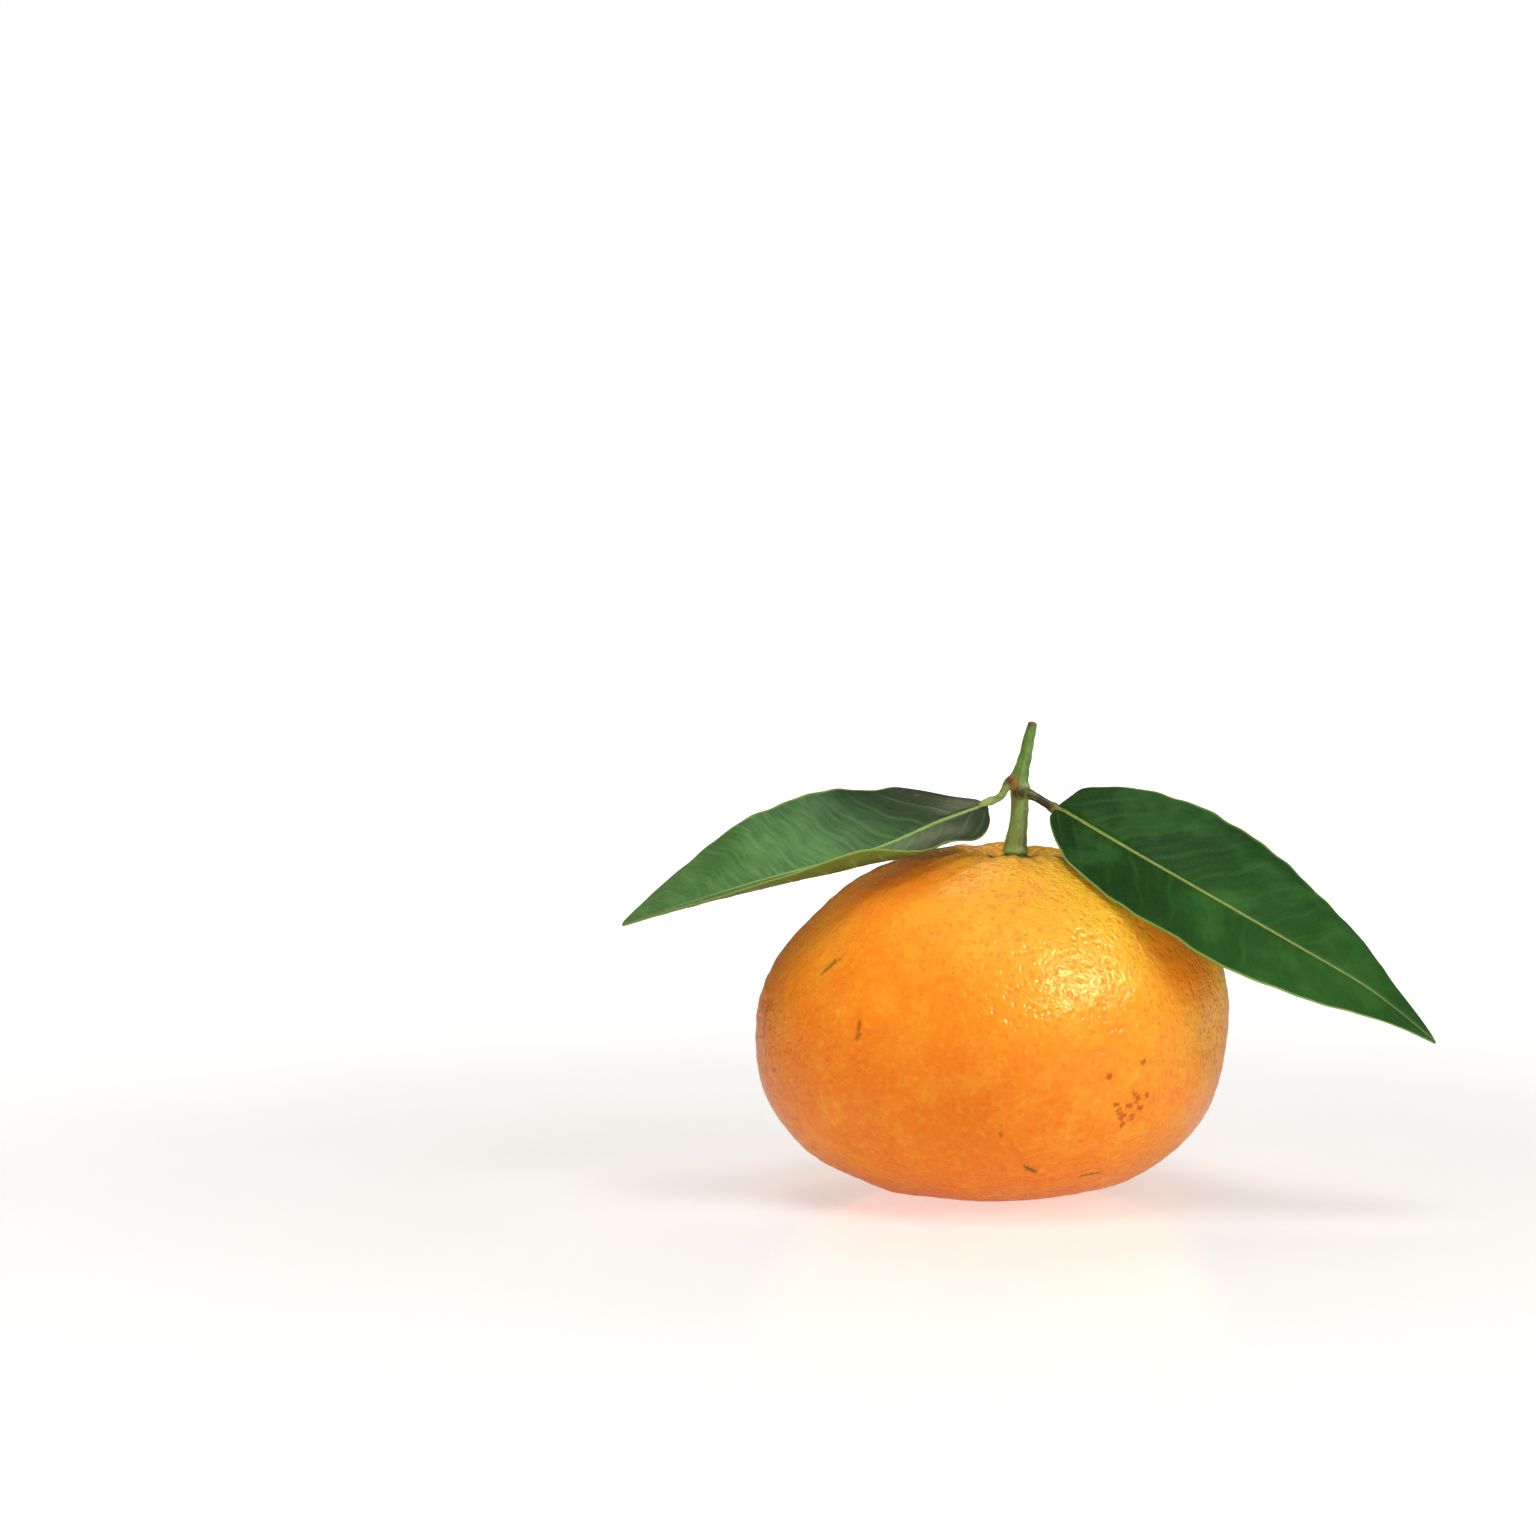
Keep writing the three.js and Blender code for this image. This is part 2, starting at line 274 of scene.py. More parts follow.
angle = np.linspace(0, 2 * math.pi, FRUIT_SIDES, endpoint=False)[None, :]
polar = np.linspace(POLE_GAP, math.pi - POLE_GAP, FRUIT_ROWS)[:, None]
angle, polar = np.broadcast_arrays(angle, polar)
smooth_skin = fruit_point(angle, polar)
out = outward(smooth_skin)
from_axis = FRUIT_RADIUS * np.sin(polar)
round_calyx = ease(from_axis, *WRINKLES_RISE) * (1 - ease(from_axis, *WRINKLES_FADE)) * (polar < CROWN_UNTIL)
sway = WRINKLE_SWAY * ripples(smooth_skin, WRINKLE_SWAY_LENGTH)
wrinkle = np.cos(WRINKLE_COUNT * angle + sway) * round_calyx
pit = 1 - ease(cells(smooth_skin, PIT_SPACING), PIT_FLOOR, PIT_RIM)
relief = SWELL * ripples(smooth_skin, SWELL_LENGTH) + PEBBLE * ripples(smooth_skin, PEBBLE_LENGTH)
relief = relief - PIT_DEPTH * pit + WRINKLE * wrinkle
peel = smooth_skin + out * relief[..., None]

from_middle = np.hypot(peel[..., 0], peel[..., 1])
hollow = HOLLOW_DEPTH * np.exp(-((from_middle / HOLLOW_RADIUS) ** 2))
lifted = (peel[..., 2] + np.sqrt(peel[..., 2] ** 2 + GROUND_BEND**2)) / 2
peel[..., 2] = np.where(polar > UNDERSIDE_FROM, lifted + hollow, peel[..., 2])

fruit = skin("clementine_fruit", peel)
print(f"lowest point: {peel[..., 2].min() / MM:.2f} mm above the ground")
stand_for(fruit, "fruit")

# %% [markdown]
# ## The calyx
# Between fruit and stalk lies a small star of five dried sepals. It could be five separate petals, but on a
# picked fruit they have grown together, so one disc with a wavy rim is right. Its floor follows the dimple,
# its lobes curl up a little at their tips, and it thickens to a collar where the stalk stands.

# %% Calyx
CALYX_RADIUS = 2.9 * MM
CALYX_LOBE = 0.75 * MM
CALYX_LOBES = 5
CALYX_TURN = math.radians(22)
CALYX_THICKNESS = 0.6 * MM
CALYX_COLLAR = 0.6 * MM
CALYX_LIFT = 0.05 * MM
LOBE_CURL = 0.12 * MM
RIM_THINNING = 0.6
COLLAR_RADIUS = 1.9 * MM
SEPAL_RIB = 0.08 * MM
SEPAL_GRAIN = 0.04 * MM
SEPAL_GRAIN_LENGTH = 1.2 * MM
CALYX_SIDES = 160
CALYX_ROWS = 90
CALYX_POLE_GAP = 0.02


def calyx_surface(angle, polar):
    """A flattened ball: the sine of its polar angle is the share of the radius, and the cosine says whether
    the point is on the upper or the lower face. Lobes are a cosine round the rim, and their tips curl up."""
    share = np.sin(polar)
    is_upper = polar < math.pi / 2
    lobe = 0.5 + 0.5 * np.cos(CALYX_LOBES * (angle - CALYX_TURN))
    radius = (CALYX_RADIUS + CALYX_LOBE * (2 * lobe - 1)) * share
    thickness = CALYX_THICKNESS * (1 - RIM_THINNING * share**2)
    collar = CALYX_COLLAR * np.exp(-((radius / COLLAR_RADIUS) ** 4)) * is_upper
    curl = LOBE_CURL * lobe * share**4
    rib = SEPAL_RIB * np.cos(CALYX_LOBES * 2 * (angle - CALYX_TURN)) * share * is_upper
    lift = CALYX_LIFT + (0.5 + 0.5 * np.cos(polar)) * thickness + collar + curl + rib
    height = crown_height(radius, angle) + lift
    return leaned(np.stack([radius * np.cos(angle), radius * np.sin(angle), height], -1))


ring = np.linspace(0, 2 * math.pi, CALYX_SIDES, endpoint=False)[None, :]
tilt = np.linspace(CALYX_POLE_GAP, math.pi - CALYX_POLE_GAP, CALYX_ROWS)[:, None]
ring, tilt = np.broadcast_arrays(ring, tilt)
star = calyx_surface(ring, tilt)
star = star + outward(star) * (SEPAL_GRAIN * ripples(star, SEPAL_GRAIN_LENGTH))[..., None]
calyx = skin("calyx_star", star, reach=np.sin(tilt))
stand_for(calyx, "calyx")

# %% [markdown]
# ## Stalks
# The stem and both leaf stalks are one idea: a ring of points carried along a smooth route, with a radius
# that changes on the way. The route is a centripetal Catmull-Rom curve, which passes through every given
# point without loops. Each ring is square to the route, so the stalk keeps its thickness through a bend.

# %% Routes
END_ROUNDING = 0.45
BLUNTNESS = 0.02


def route(points, count, fine=600):
    """count places along a smooth curve through points, evenly spaced, and the direction at each. Between
    two points the curve is a cubic whose end slopes follow its neighbours, timed by the root of each
    distance."""
    points = np.asarray(points, float)
    guide = np.vstack([2 * points[0] - points[1], points, 2 * points[-1] - points[-2]])
    gap = np.sqrt(np.linalg.norm(np.diff(guide, axis=0), axis=1))
    time = np.linspace(0, len(points) - 1, fine)
    leg = np.minimum(time.astype(int), len(points) - 2)
    w = (time - leg)[:, None]
    p0, p1, p2, p3 = (guide[leg + step] for step in range(4))
    g0, g1, g2 = (gap[leg + step][:, None] for step in range(3))
    slope1 = ((p1 - p0) / g0 - (p2 - p0) / (g0 + g1) + (p2 - p1) / g1) * g1
    slope2 = ((p2 - p1) / g1 - (p3 - p1) / (g1 + g2) + (p3 - p2) / g2) * g1
    square = (3 * (p2 - p1) - 2 * slope1 - slope2) * w**2
    curve = p1 + slope1 * w + square + (2 * (p1 - p2) + slope1 + slope2) * w**3
    length = np.concatenate([[0], np.cumsum(np.linalg.norm(np.diff(curve, axis=0), axis=1))])
    share = length / length[-1]
    wanted = np.linspace(0, 1, count) if np.isscalar(count) else count
    places = np.stack([np.interp(wanted, share, curve[:, k]) for k in range(3)], -1)
    ways = np.gradient(curve, axis=0)
    ways = np.stack([np.interp(wanted, share, ways[:, k]) for k in range(3)], -1)
    return places, ways / np.linalg.norm(ways, axis=1, keepdims=True), length[-1]


def stalk(points, radii, rows, sides, bulges=()):
    """A ring carried along a route. radii is read evenly along it, both ends are rounded over, and each
    bulge is (place along, angle round, height, length along, width round) of a swelling that is bell-shaped
    both ways."""
    share = np.linspace(0, 1, rows)
    places, ways, length = route(points, rows)
    side = np.cross([0, 1, 0], ways)
    side /= np.linalg.norm(side, axis=1, keepdims=True)
    other = np.cross(ways, side)
    angle = np.linspace(0, 2 * math.pi, sides, endpoint=False)[None]
    along, angle = np.broadcast_arrays(share[:, None], angle)
    radius = spread(radii, along)
    from_end = np.minimum(along, 1 - along) * length / radius
    radius = radius * np.sqrt(1 - (1 - np.clip(from_end / END_ROUNDING, BLUNTNESS, 1)) ** 2)
    for where, heading, height, long, wide in bulges:
        off = np.angle(np.exp(1j * (angle - heading)))
        radius = radius + height * np.exp(-(((along - where) * length / long) ** 2) - (off / wide) ** 2)
    rings = side[:, None] * np.cos(angle)[..., None] + other[:, None] * np.sin(angle)[..., None]
    return places[:, None] + rings * radius[..., None], along, angle


# %% [markdown]
# ## The stem
# The fruit hangs on a short stalk that flares where it meets the calyx. Above the leaves it goes on as a
# thinner green twig, and it ends where it was snipped. At the node, where the leaf stalks leave it, it
# swells, and a small bud sits in each leaf's corner. Young citrus bark is faintly ribbed lengthwise, which
# a few waves round the ring give.

# %% Stem
STEM_SUNK = 0.25 * MM
COLLAR_TOP = crown_height(0, 0) + CALYX_LIFT + CALYX_THICKNESS + CALYX_COLLAR
CALYX_TOP = leaned(np.array([0, 0, COLLAR_TOP - STEM_SUNK]))
STEM_ROUTE = np.array([
    CALYX_TOP / MM, (3.1, -1.2, 45), (3.4, -1.2, 47.4), (3.57, -1.2, 49.9), (3.53, -1.2, 52.2),
    (4.1, -1.2, 55.3), (5.2, -1.2, 60.2),
]) * MM
STEM_RADII = np.array([1.8, 1.4, 1.22, 1.12, 1.08, 1.17, 1.0, 0.86, 0.74, 0.64, 0.58]) * MM
STEM_ROWS = 330
STEM_SIDES = 96
STEM_RELIEF = 0.55 * MM
NODE = 0.52
# each: place along, angle round, height, length along, width round
LEFT_BUD = (NODE + 0.045, math.radians(195), 0.5 * MM, 0.75 * MM, 0.5)
RIGHT_BUD = (NODE - 0.005, math.radians(-40), 0.32 * MM, 0.55 * MM, 0.5)
SCAR = (NODE - 0.06, math.radians(-80), 0.16 * MM, 0.5 * MM, 0.7)

swellings = (LEFT_BUD, RIGHT_BUD, SCAR)
stem_grid, stem_along, stem_angle = stalk(STEM_ROUTE, STEM_RADII, STEM_ROWS, STEM_SIDES, swellings)
# two sets of ribs and two sizes of knots, each a share of the relief
ribs = 0.05 * np.cos(5 * stem_angle + 3 * stem_along) + 0.025 * np.cos(13 * stem_angle - 5 * stem_along)
knots = 0.09 * ripples(stem_grid, 2.6 * MM) + 0.05 * ripples(stem_grid, 1.0 * MM)
stem_grid = stem_grid + outward(stem_grid) * (STEM_RELIEF * (ribs + knots))[..., None]
stem = skin("twig_stem", stem_grid, along=stem_along)
stand_for(stem, "stem")

# %% [markdown]
# ## The leaf stalks
# Each leaf hangs from the node on a short stalk, the petiole. It is fleshy where it leaves the twig, and it
# ends in a small joint, like a collar, where the blade will one day drop off. The same stalk function makes
# both. They start inside the stem and end inside the blade, so no gap shows.

# %% Leaf stalks
LEFT_STALK = np.array([
    (3.2, -1.2, 53.0), (2.6, -1.25, 52.75), (2.05, -1.3, 52.25), (1.65, -1.35, 51.55), (1.25, -1.4, 50.85),
    (0.5, -1.45, 50.35), (-0.3, -1.5, 50.1), (-1.7, -1.65, 49.5),
]) * MM
LEFT_STALK_RADII = np.array([0.85, 0.72, 0.6, 0.5, 0.48, 0.48, 0.52, 0.5, 0.3]) * MM
RIGHT_STALK = np.array([
    (4.0, -1.2, 51.3), (5.1, -1.2, 50.85), (6.15, -1.25, 50.3), (7.1, -1.3, 49.7), (7.95, -1.4, 49.2),
    (9.3, -1.95, 48.5),
]) * MM
RIGHT_STALK_RADII = np.array([0.9, 0.68, 0.56, 0.54, 0.56, 0.68, 0.52, 0.3]) * MM
LEFT_JOINT = 0.72
RIGHT_JOINT = 0.74
STALK_ROWS = 150
STALK_SIDES = 64
# how the joint's collar goes on from its place along: angle round, height, length along, width round
JOINT_COLLAR = (math.radians(180), 0.06 * MM, 0.3 * MM, 9)
GROOVE_DEPTH = 0.09 * MM
GROOVE_WIDTH = 0.5
GROOVE_OPENS = (0.1, 0.3)
BARK_RELIEF = 0.025 * MM
BARK_LENGTH = 1.1 * MM


def leaf_stalk(name, node, points, radii, joint):
    """A stalk with a shallow groove along its upper side and a collar at the joint."""
    grid, along, angle = stalk(points, radii, STALK_ROWS, STALK_SIDES, ((joint, *JOINT_COLLAR),))
    from_top = np.angle(np.exp(1j * (angle + math.pi / 2)))
    groove = GROOVE_DEPTH * np.exp(-((from_top / GROOVE_WIDTH) ** 2))
    bark = BARK_RELIEF * ripples(grid, BARK_LENGTH) - groove * ease(along, *GROOVE_OPENS)
    grid = grid + outward(grid) * bark[..., None]
    piece = skin(name, grid, along=along)
    stand_for(piece, node)
    return piece


left_stalk = leaf_stalk("leaf_stalk_left", "petiole_left", LEFT_STALK, LEFT_STALK_RADII, LEFT_JOINT)
right_stalk = leaf_stalk("leaf_stalk_right", "petiole_right", RIGHT_STALK, RIGHT_STALK_RADII, RIGHT_JOINT)

# %% [markdown]
# ## The leaves
# A citrus leaf is a stiff, glossy blade, folded a little along its midrib. Its outline opens quickly from
# the base and draws out to the tip. Each half starts at its own angle and may curl towards its margin,
# which says everything about how the leaf sits: the left one rolls its near side up, and the right one
# hangs over the fruit's shoulder. The ring of each row goes over the top from margin to margin and back
# underneath, so the blade is a closed body.

# %% Leaf dimensions
# near is the half towards the front and far is the other. Each gives two lists, read from base to tip: the
# angle at which the half leaves the midrib, and how far it curls on the way to its margin, in degrees.
LEFT_LEAF = {
    "midrib": np.array([(-0.5, -1.5, 49.75), (-6.2, -2.6, 47.7), (-15, -4.6, 44.1), (-30, -7.6, 40.2),
                        (-46.9, -9, 35)]) * MM,
    "half_width": 11.2 * MM,
    "rise": 0.6,
    "taper": 0.85,
    "near": ((-39, -28, -23, -13, -3, 5), (0, 46, 69, 40, 13, 4)),
    "near_width": (1.1, 1.04, 0.9, 0.93, 1, 1),
    "far_shoulder": 0,
    "far": ((14, 37, 48, 48, 40, 33), (0, 0, 0, 0, 0, 0)),
}
RIGHT_LEAF = {
    "midrib": np.array([(8.2, -1.1, 49.3), (18.3, -8.4, 43.6), (36.1, -18.4, 33.7), (45.6, -20.9, 28.1),
                        (53.9, -20.1, 21.5)]) * MM,
    "half_width": 12 * MM,
    "rise": 0.59,
    "taper": 0.98,
    "near": ((-17, -17, -19, -26, -32, -29), (6, 5, 4, 2, 1, 3)),
    "near_width": (0.84, 1, 1, 1, 1, 1),
    "far_shoulder": 0.35,
    "far": ((49, 41, 36, 32, 33, 45), (0, -3, -4, -4, -2, 0)),
}
BLADE_THICKNESS = 0.42 * MM
MARGIN_THICKNESS = 0.22 * MM
MIDRIB_BULGE = 0.55 * MM
MIDRIB_HALF_WIDTH = 0.6 * MM
RIB_LINE_WIDTH = 0.3 * MM
RIB_GROOVE = 0.16 * MM
VEIN_GROOVE = 0.03 * MM
VEIN_RIDGE = 0.05 * MM
PILLOW = 0.045 * MM
MARGIN_WAVE = 0.1 * MM
END_GAP = 0.002
BASE_ROUNDING = 0.014
SHOULDER_LENGTH = 0.03
EDGE_ROUNDING = 0.03
STRAIGHT = 1e-4
# each: depth as a share of the half-width, length
NOTCHES = ((0.008, 1.1 * MM), (0.006, 0.63 * MM))
VEIN_PAIRS = 11
VEIN_SWEEP = 0.17
LEAF_ROWS = 300
LEAF_COLUMNS = 64


# %% [markdown]
# The veins are worked out on the same grid. A side vein leaves the midrib and sweeps towards the tip, so
# along a vein the place on the midrib minus the sweep stays the same. Counting that value in steps gives a
# number that is whole on every vein. The distance to the nearest whole number then says how near a point is
# to a vein. On top the veins are pressed in and the blade between them is slightly pillowed. Underneath
# they stand out.

# %% Leaf surface
def vein_pattern(along, across, half):
    """How much of a side vein is at a point, 0 to 1, the pillow between veins, 0 on a vein to 1 midway, and
    the count of veins up to there, which stays the same along each vein."""
    share = np.abs(across)
    stagger = np.where(across > 0, 0.5, 0.0)
    wobble = 0.12 * np.sin(7 * along + 4 * share) + 0.05 * np.sin(31 * along + 9 * share)
    count = (along - VEIN_SWEEP * share**1.25 * (1 - 0.5 * along)) * VEIN_PAIRS + stagger + wobble
    off = np.abs(count - np.round(count))
    width = 0.06 * (1 - 0.45 * share)
    fade = ease(share * half, 0.2 * MM, 1.2 * MM) * (1 - ease(share, 0.72, 0.97))
    return np.exp(-((off / width) ** 2)) * fade, np.sin(math.pi * np.minimum(off, 0.5)) * fade, count


def blade(name, node, leaf):
    """A leaf blade. Each half is an arc that leaves the midrib at a starting angle and turns by its curl. Its
    length is the outline's half-width, a power curve that rises at the base and falls to the tip."""
    t = np.linspace(0, math.pi, LEAF_ROWS)
    along = END_GAP + (1 - 2 * END_GAP) * (0.35 * t / math.pi + 0.65 * (0.5 - 0.5 * np.cos(t)))
    places, ways, length = route(leaf["midrib"], along)
    near = np.cross(ways, [0, 0, 1])
    near *= -np.sign(near[:, 1:2]) / np.linalg.norm(near, axis=1, keepdims=True)
    above = np.cross(near, ways)
    above *= np.sign(above[:, 2:3])
    even = np.linspace(-1, 1, LEAF_COLUMNS)
    reach = 0.25 * even + 0.75 * np.sign(even) * ease(np.abs(even), 0, 1)
    across = np.concatenate([reach, reach[::-1]])[None, :]
    side = np.concatenate([np.ones(LEAF_COLUMNS), -np.ones(LEAF_COLUMNS)])[None, :]
    along, across, side = np.broadcast_arrays(along[:, None], across, side)

    widest = leaf["rise"] / (leaf["rise"] + leaf["taper"])
    outline = (along / widest) ** leaf["rise"] * ((1 - along) / (1 - widest)) ** leaf["taper"]
    notches = 1 + sum(depth * np.sin(along * length / size) for depth, size in NOTCHES)
    rounded_base = np.sqrt(np.clip((along - END_GAP) / BASE_ROUNDING, 0.01, 1))
    shoulder = 1 + leaf["far_shoulder"] * np.exp(-((along / SHOULDER_LENGTH) ** 2))
    width = np.where(across > 0, spread(leaf["near_width"], along), shoulder)
    half = leaf["half_width"] * outline * notches * rounded_base * width
    share = np.abs(across)
    is_near = across > 0
    near_start, near_curl = (spread(angles, along) for angles in leaf["near"])
    far_start, far_curl = (spread(angles, along) for angles in leaf["far"])
    start = np.radians(np.where(is_near, near_start, far_start))
    curl = np.radians(np.where(is_near, near_curl, far_curl))
    turn = np.where(np.abs(curl * share) < STRAIGHT, STRAIGHT, curl * share)
    bend = half * share / turn
    sideways = bend * (np.sin(start + turn) - np.sin(start))
    upwards = bend * (np.cos(start) - np.cos(start + turn))

    from_rib = half * share
    vein, pillow, count = vein_pattern(along, across, half)
    rib = np.exp(-((from_rib / RIB_LINE_WIDTH) ** 2)) * (1 - 0.5 * along)
    edge_round = np.sqrt(np.clip((1 - share) / EDGE_ROUNDING, 0, 1))
    thick = (BLADE_THICKNESS * (1 - share**2) + MARGIN_THICKNESS * share**2) * edge_round
    bulge = MIDRIB_BULGE * (1 - along) * np.exp(-((from_rib / MIDRIB_HALF_WIDTH) ** 2))
    on_top = PILLOW * pillow - VEIN_GROOVE * vein - RIB_GROOVE * rib
    below = -bulge - VEIN_RIDGE * vein
    wave = MARGIN_WAVE * np.sin(along * 17 + np.where(is_near, 0, 2)) * share**2 * ease(1 - along, 0, 0.2)
    offset = side * thick / 2 + np.where(side > 0, on_top, below) + wave
    lie = (start + turn) * np.tanh(from_rib / MIDRIB_HALF_WIDTH)
    out_by = sideways - offset * np.sin(lie)
    up_by = upwards + offset * np.cos(lie)
    outwards = near[:, None] * (np.sign(across) * out_by)[..., None]
    grid = places[:, None] + outwards + above[:, None] * up_by[..., None]
    piece = skin(name, grid, vein=vein, rib=rib, margin=share, side=(side + 1) / 2, count=count)
    stand_for(piece, node)
    print(f"{name}: midrib {length / MM:.1f} mm, half width {half.max() / MM:.1f} mm")
    return piece


left_leaf = blade("leaf_blade_left", "leaf_left", LEFT_LEAF)
right_leaf = blade("leaf_blade_right", "leaf_right", RIGHT_LEAF)

# %% [markdown]
# ## Building finishes from nodes
# A finish is a small graph. These helpers add one node each and return its output, so a material reads like
# a recipe. Colours are written as the screen shows them and turned into the linear light that a shader
# works in.

# %% Node helpers
def colour(code):
    """A screen colour such as #ff8800 as linear light."""
    shown = np.array([int(code[i : i + 2], 16) for i in (1, 3, 5)]) / 255
    linear = np.where(shown <= 0.04045, shown / 12.92, ((shown + 0.055) / 1.055) ** 2.4)
    return (*linear.tolist(), 1.0)


def put(tree, kind, inputs=None, **options):
    """Adds a node. Each input is joined if it is a socket, and set if it is a value."""
    made = tree.nodes.new(kind)
    for name, value in options.items():
        setattr(made, name, value)
    for key, value in (inputs or {}).items():
        if isinstance(value, bpy.types.NodeSocket):
            tree.links.new(value, made.inputs[key])
        else:
            made.inputs[key].default_value = value
    return made


def calc(tree, operation, *values):
    """One sum on numbers."""
    return put(tree, "ShaderNodeMath", dict(enumerate(values)), operation=operation).outputs[0]


def remap(tree, value, low, high, to_low=0.0, to_high=1.0):
    """A smooth step from to_low to to_high while value goes from low to high."""
    inputs = {"Value": value, "From Min": low, "From Max": high, "To Min": to_low, "To Max": to_high}
    return put(tree, "ShaderNodeMapRange", inputs, interpolation_type="SMOOTHSTEP").outputs[0]


def mix(tree, share, first, second, mode="MIX"):
    """Blends two colours."""
    inputs = {0: share, 6: first, 7: second}
    return put(tree, "ShaderNodeMix", inputs, data_type="RGBA", blend_type=mode).outputs[2]


def noise(tree, vector, size, detail=2.0, roughness=0.5):
    """Soft noise from 0 to 1 whose blotches are about size metres across."""
    inputs = {"Vector": vector, "Scale": 1 / size, "Detail": detail, "Roughness": roughness}
    return put(tree, "ShaderNodeTexNoise", inputs).outputs["Fac"]


def attribute(tree, name):
    """A value kept on the mesh's points."""
    return put(tree, "ShaderNodeAttribute", attribute_name=name).outputs["Fac"]


def new_group(name, inputs, outputs):
    """An empty node group with named sockets, and the sockets to build it with."""
    group = bpy.data.node_groups.new(name, "ShaderNodeTree")
    for label, (kind, value) in inputs.items():
        socket = group.interface.new_socket(label, in_out="INPUT", socket_type=kind)
        if value is not None:
            socket.default_value = value
    for label, kind in outputs.items():
        group.interface.new_socket(label, in_out="OUTPUT", socket_type=kind)
    return group, group.nodes.new("NodeGroupInput").outputs, group.nodes.new("NodeGroupOutput").inputs


def new_material(name):
    """A material with one Principled shader, and the object's own coordinates."""
    material = bpy.data.materials.new(name)
    material.use_nodes = True
    tree = material.node_tree
    shader = tree.nodes["Principled BSDF"]
    return material, tree, shader, put(tree, "ShaderNodeTexCoord").outputs["Object"]


def finish(tree, shader, shade, rough, normal=None):
    """Joins a finish's changing values to its shader."""
    tree.links.new(shade, shader.inputs["Base Color"])
    tree.links.new(rough, shader.inputs["Roughness"])
    if normal is not None:
        tree.links.new(normal, shader.inputs["Normal"])


FLOAT, VECTOR, COLOUR = "NodeSocketFloat", "NodeSocketVector", "NodeSocketColor"

# %% [markdown]
# ## Shared effects
# Three effects are used by more than one finish, so each is a node group. Mottle shifts a colour towards
# two others in soft patches of two sizes, as living skin does. Streaks draws fine fibres along a piece.
# Mark is one scratch or scab: a blunt line on the skin, given by its middle, its direction, its half length
# and its half width, with a ragged edge.

# %% Mottle
mottle, given, result = new_group(
    "mottle",
    {"Vector": (VECTOR, None), "Color": (COLOUR, None), "Light": (COLOUR, None), "Dark": (COLOUR, None),
     "Size": (FLOAT, 0.01), "Amount": (FLOAT, 0.5)},
    {"Color": COLOUR},
)
broad_scale = calc(mottle, "DIVIDE", 1.0, given["Size"])
fine_scale = calc(mottle, "MULTIPLY", broad_scale, 4.3)
broad = put(mottle, "ShaderNodeTexNoise", {"Vector": given["Vector"], "Scale": broad_scale, "Detail": 2.0})
fine = put(mottle, "ShaderNodeTexNoise", {"Vector": given["Vector"], "Scale": fine_scale, "Detail": 3.0})
light_share = calc(mottle, "MULTIPLY", remap(mottle, broad.outputs[0], 0.45, 0.7), given["Amount"])
dark_share = calc(mottle, "MULTIPLY", remap(mottle, fine.outputs[0], 0.5, 0.75), given["Amount"])
lightened = mix(mottle, light_share, given["Color"], given["Light"])
mottle.links.new(mix(mottle, dark_share, lightened, given["Dark"]), result["Color"])

# %% Streaks
streaks, given, result = new_group(
    "streaks",
    {"Vector": (VECTOR, None), "Stretch": (VECTOR, (1.0, 1.0, 0.15)), "Size": (FLOAT, 0.0005)},
    {"Fac": FLOAT},
)
stretched = put(streaks, "ShaderNodeVectorMath", {0: given["Vector"], 1: given["Stretch"]},
                operation="MULTIPLY")
streak_scale = calc(streaks, "DIVIDE", 1.0, given["Size"])
fibres = put(streaks, "ShaderNodeTexNoise", {
    "Vector": stretched.outputs[0], "Scale": streak_scale, "Detail": 4.0})
streaks.links.new(fibres.outputs[0], result["Fac"])

# %% Mark
RAGGED_SIZE = 0.45 * MM

mark, given, result = new_group(
    "mark",
    {"Vector": (VECTOR, None), "Middle": (VECTOR, None), "Way": (VECTOR, None),
     "Half Length": (FLOAT, 0.001), "Half Width": (FLOAT, 0.0003)},
    {"Mask": FLOAT},
)
from_mark = put(mark, "ShaderNodeVectorMath", {0: given["Vector"], 1: given["Middle"]}, operation="SUBTRACT")
lengthwise = put(mark, "ShaderNodeVectorMath", {0: from_mark.outputs[0], 1: given["Way"]},
                 operation="DOT_PRODUCT")
on_line = put(mark, "ShaderNodeVectorMath", {0: given["Way"], "Scale": lengthwise.outputs["Value"]},
              operation="SCALE")
off_line = put(mark, "ShaderNodeVectorMath", {0: from_mark.outputs[0], 1: on_line.outputs[0]},
               operation="DISTANCE")
ragged = remap(mark, noise(mark, given["Vector"], RAGGED_SIZE, 2.0), 0.25, 0.75, 0.35, 1.65)
width = calc(mark, "MULTIPLY", given["Half Width"], ragged)
sideways_share = calc(mark, "DIVIDE", off_line.outputs["Value"], width)
near_line = calc(mark, "SUBTRACT", 1.0, remap(mark, sideways_share, 0.3, 1.1))
past_end = calc(mark, "DIVIDE", calc(mark, "ABSOLUTE", lengthwise.outputs["Value"]), given["Half Length"])
before_end = calc(mark, "SUBTRACT", 1.0, remap(mark, past_end, 0.55, 1.1))
mark.links.new(calc(mark, "MULTIPLY", near_line, before_end), result["Mask"])
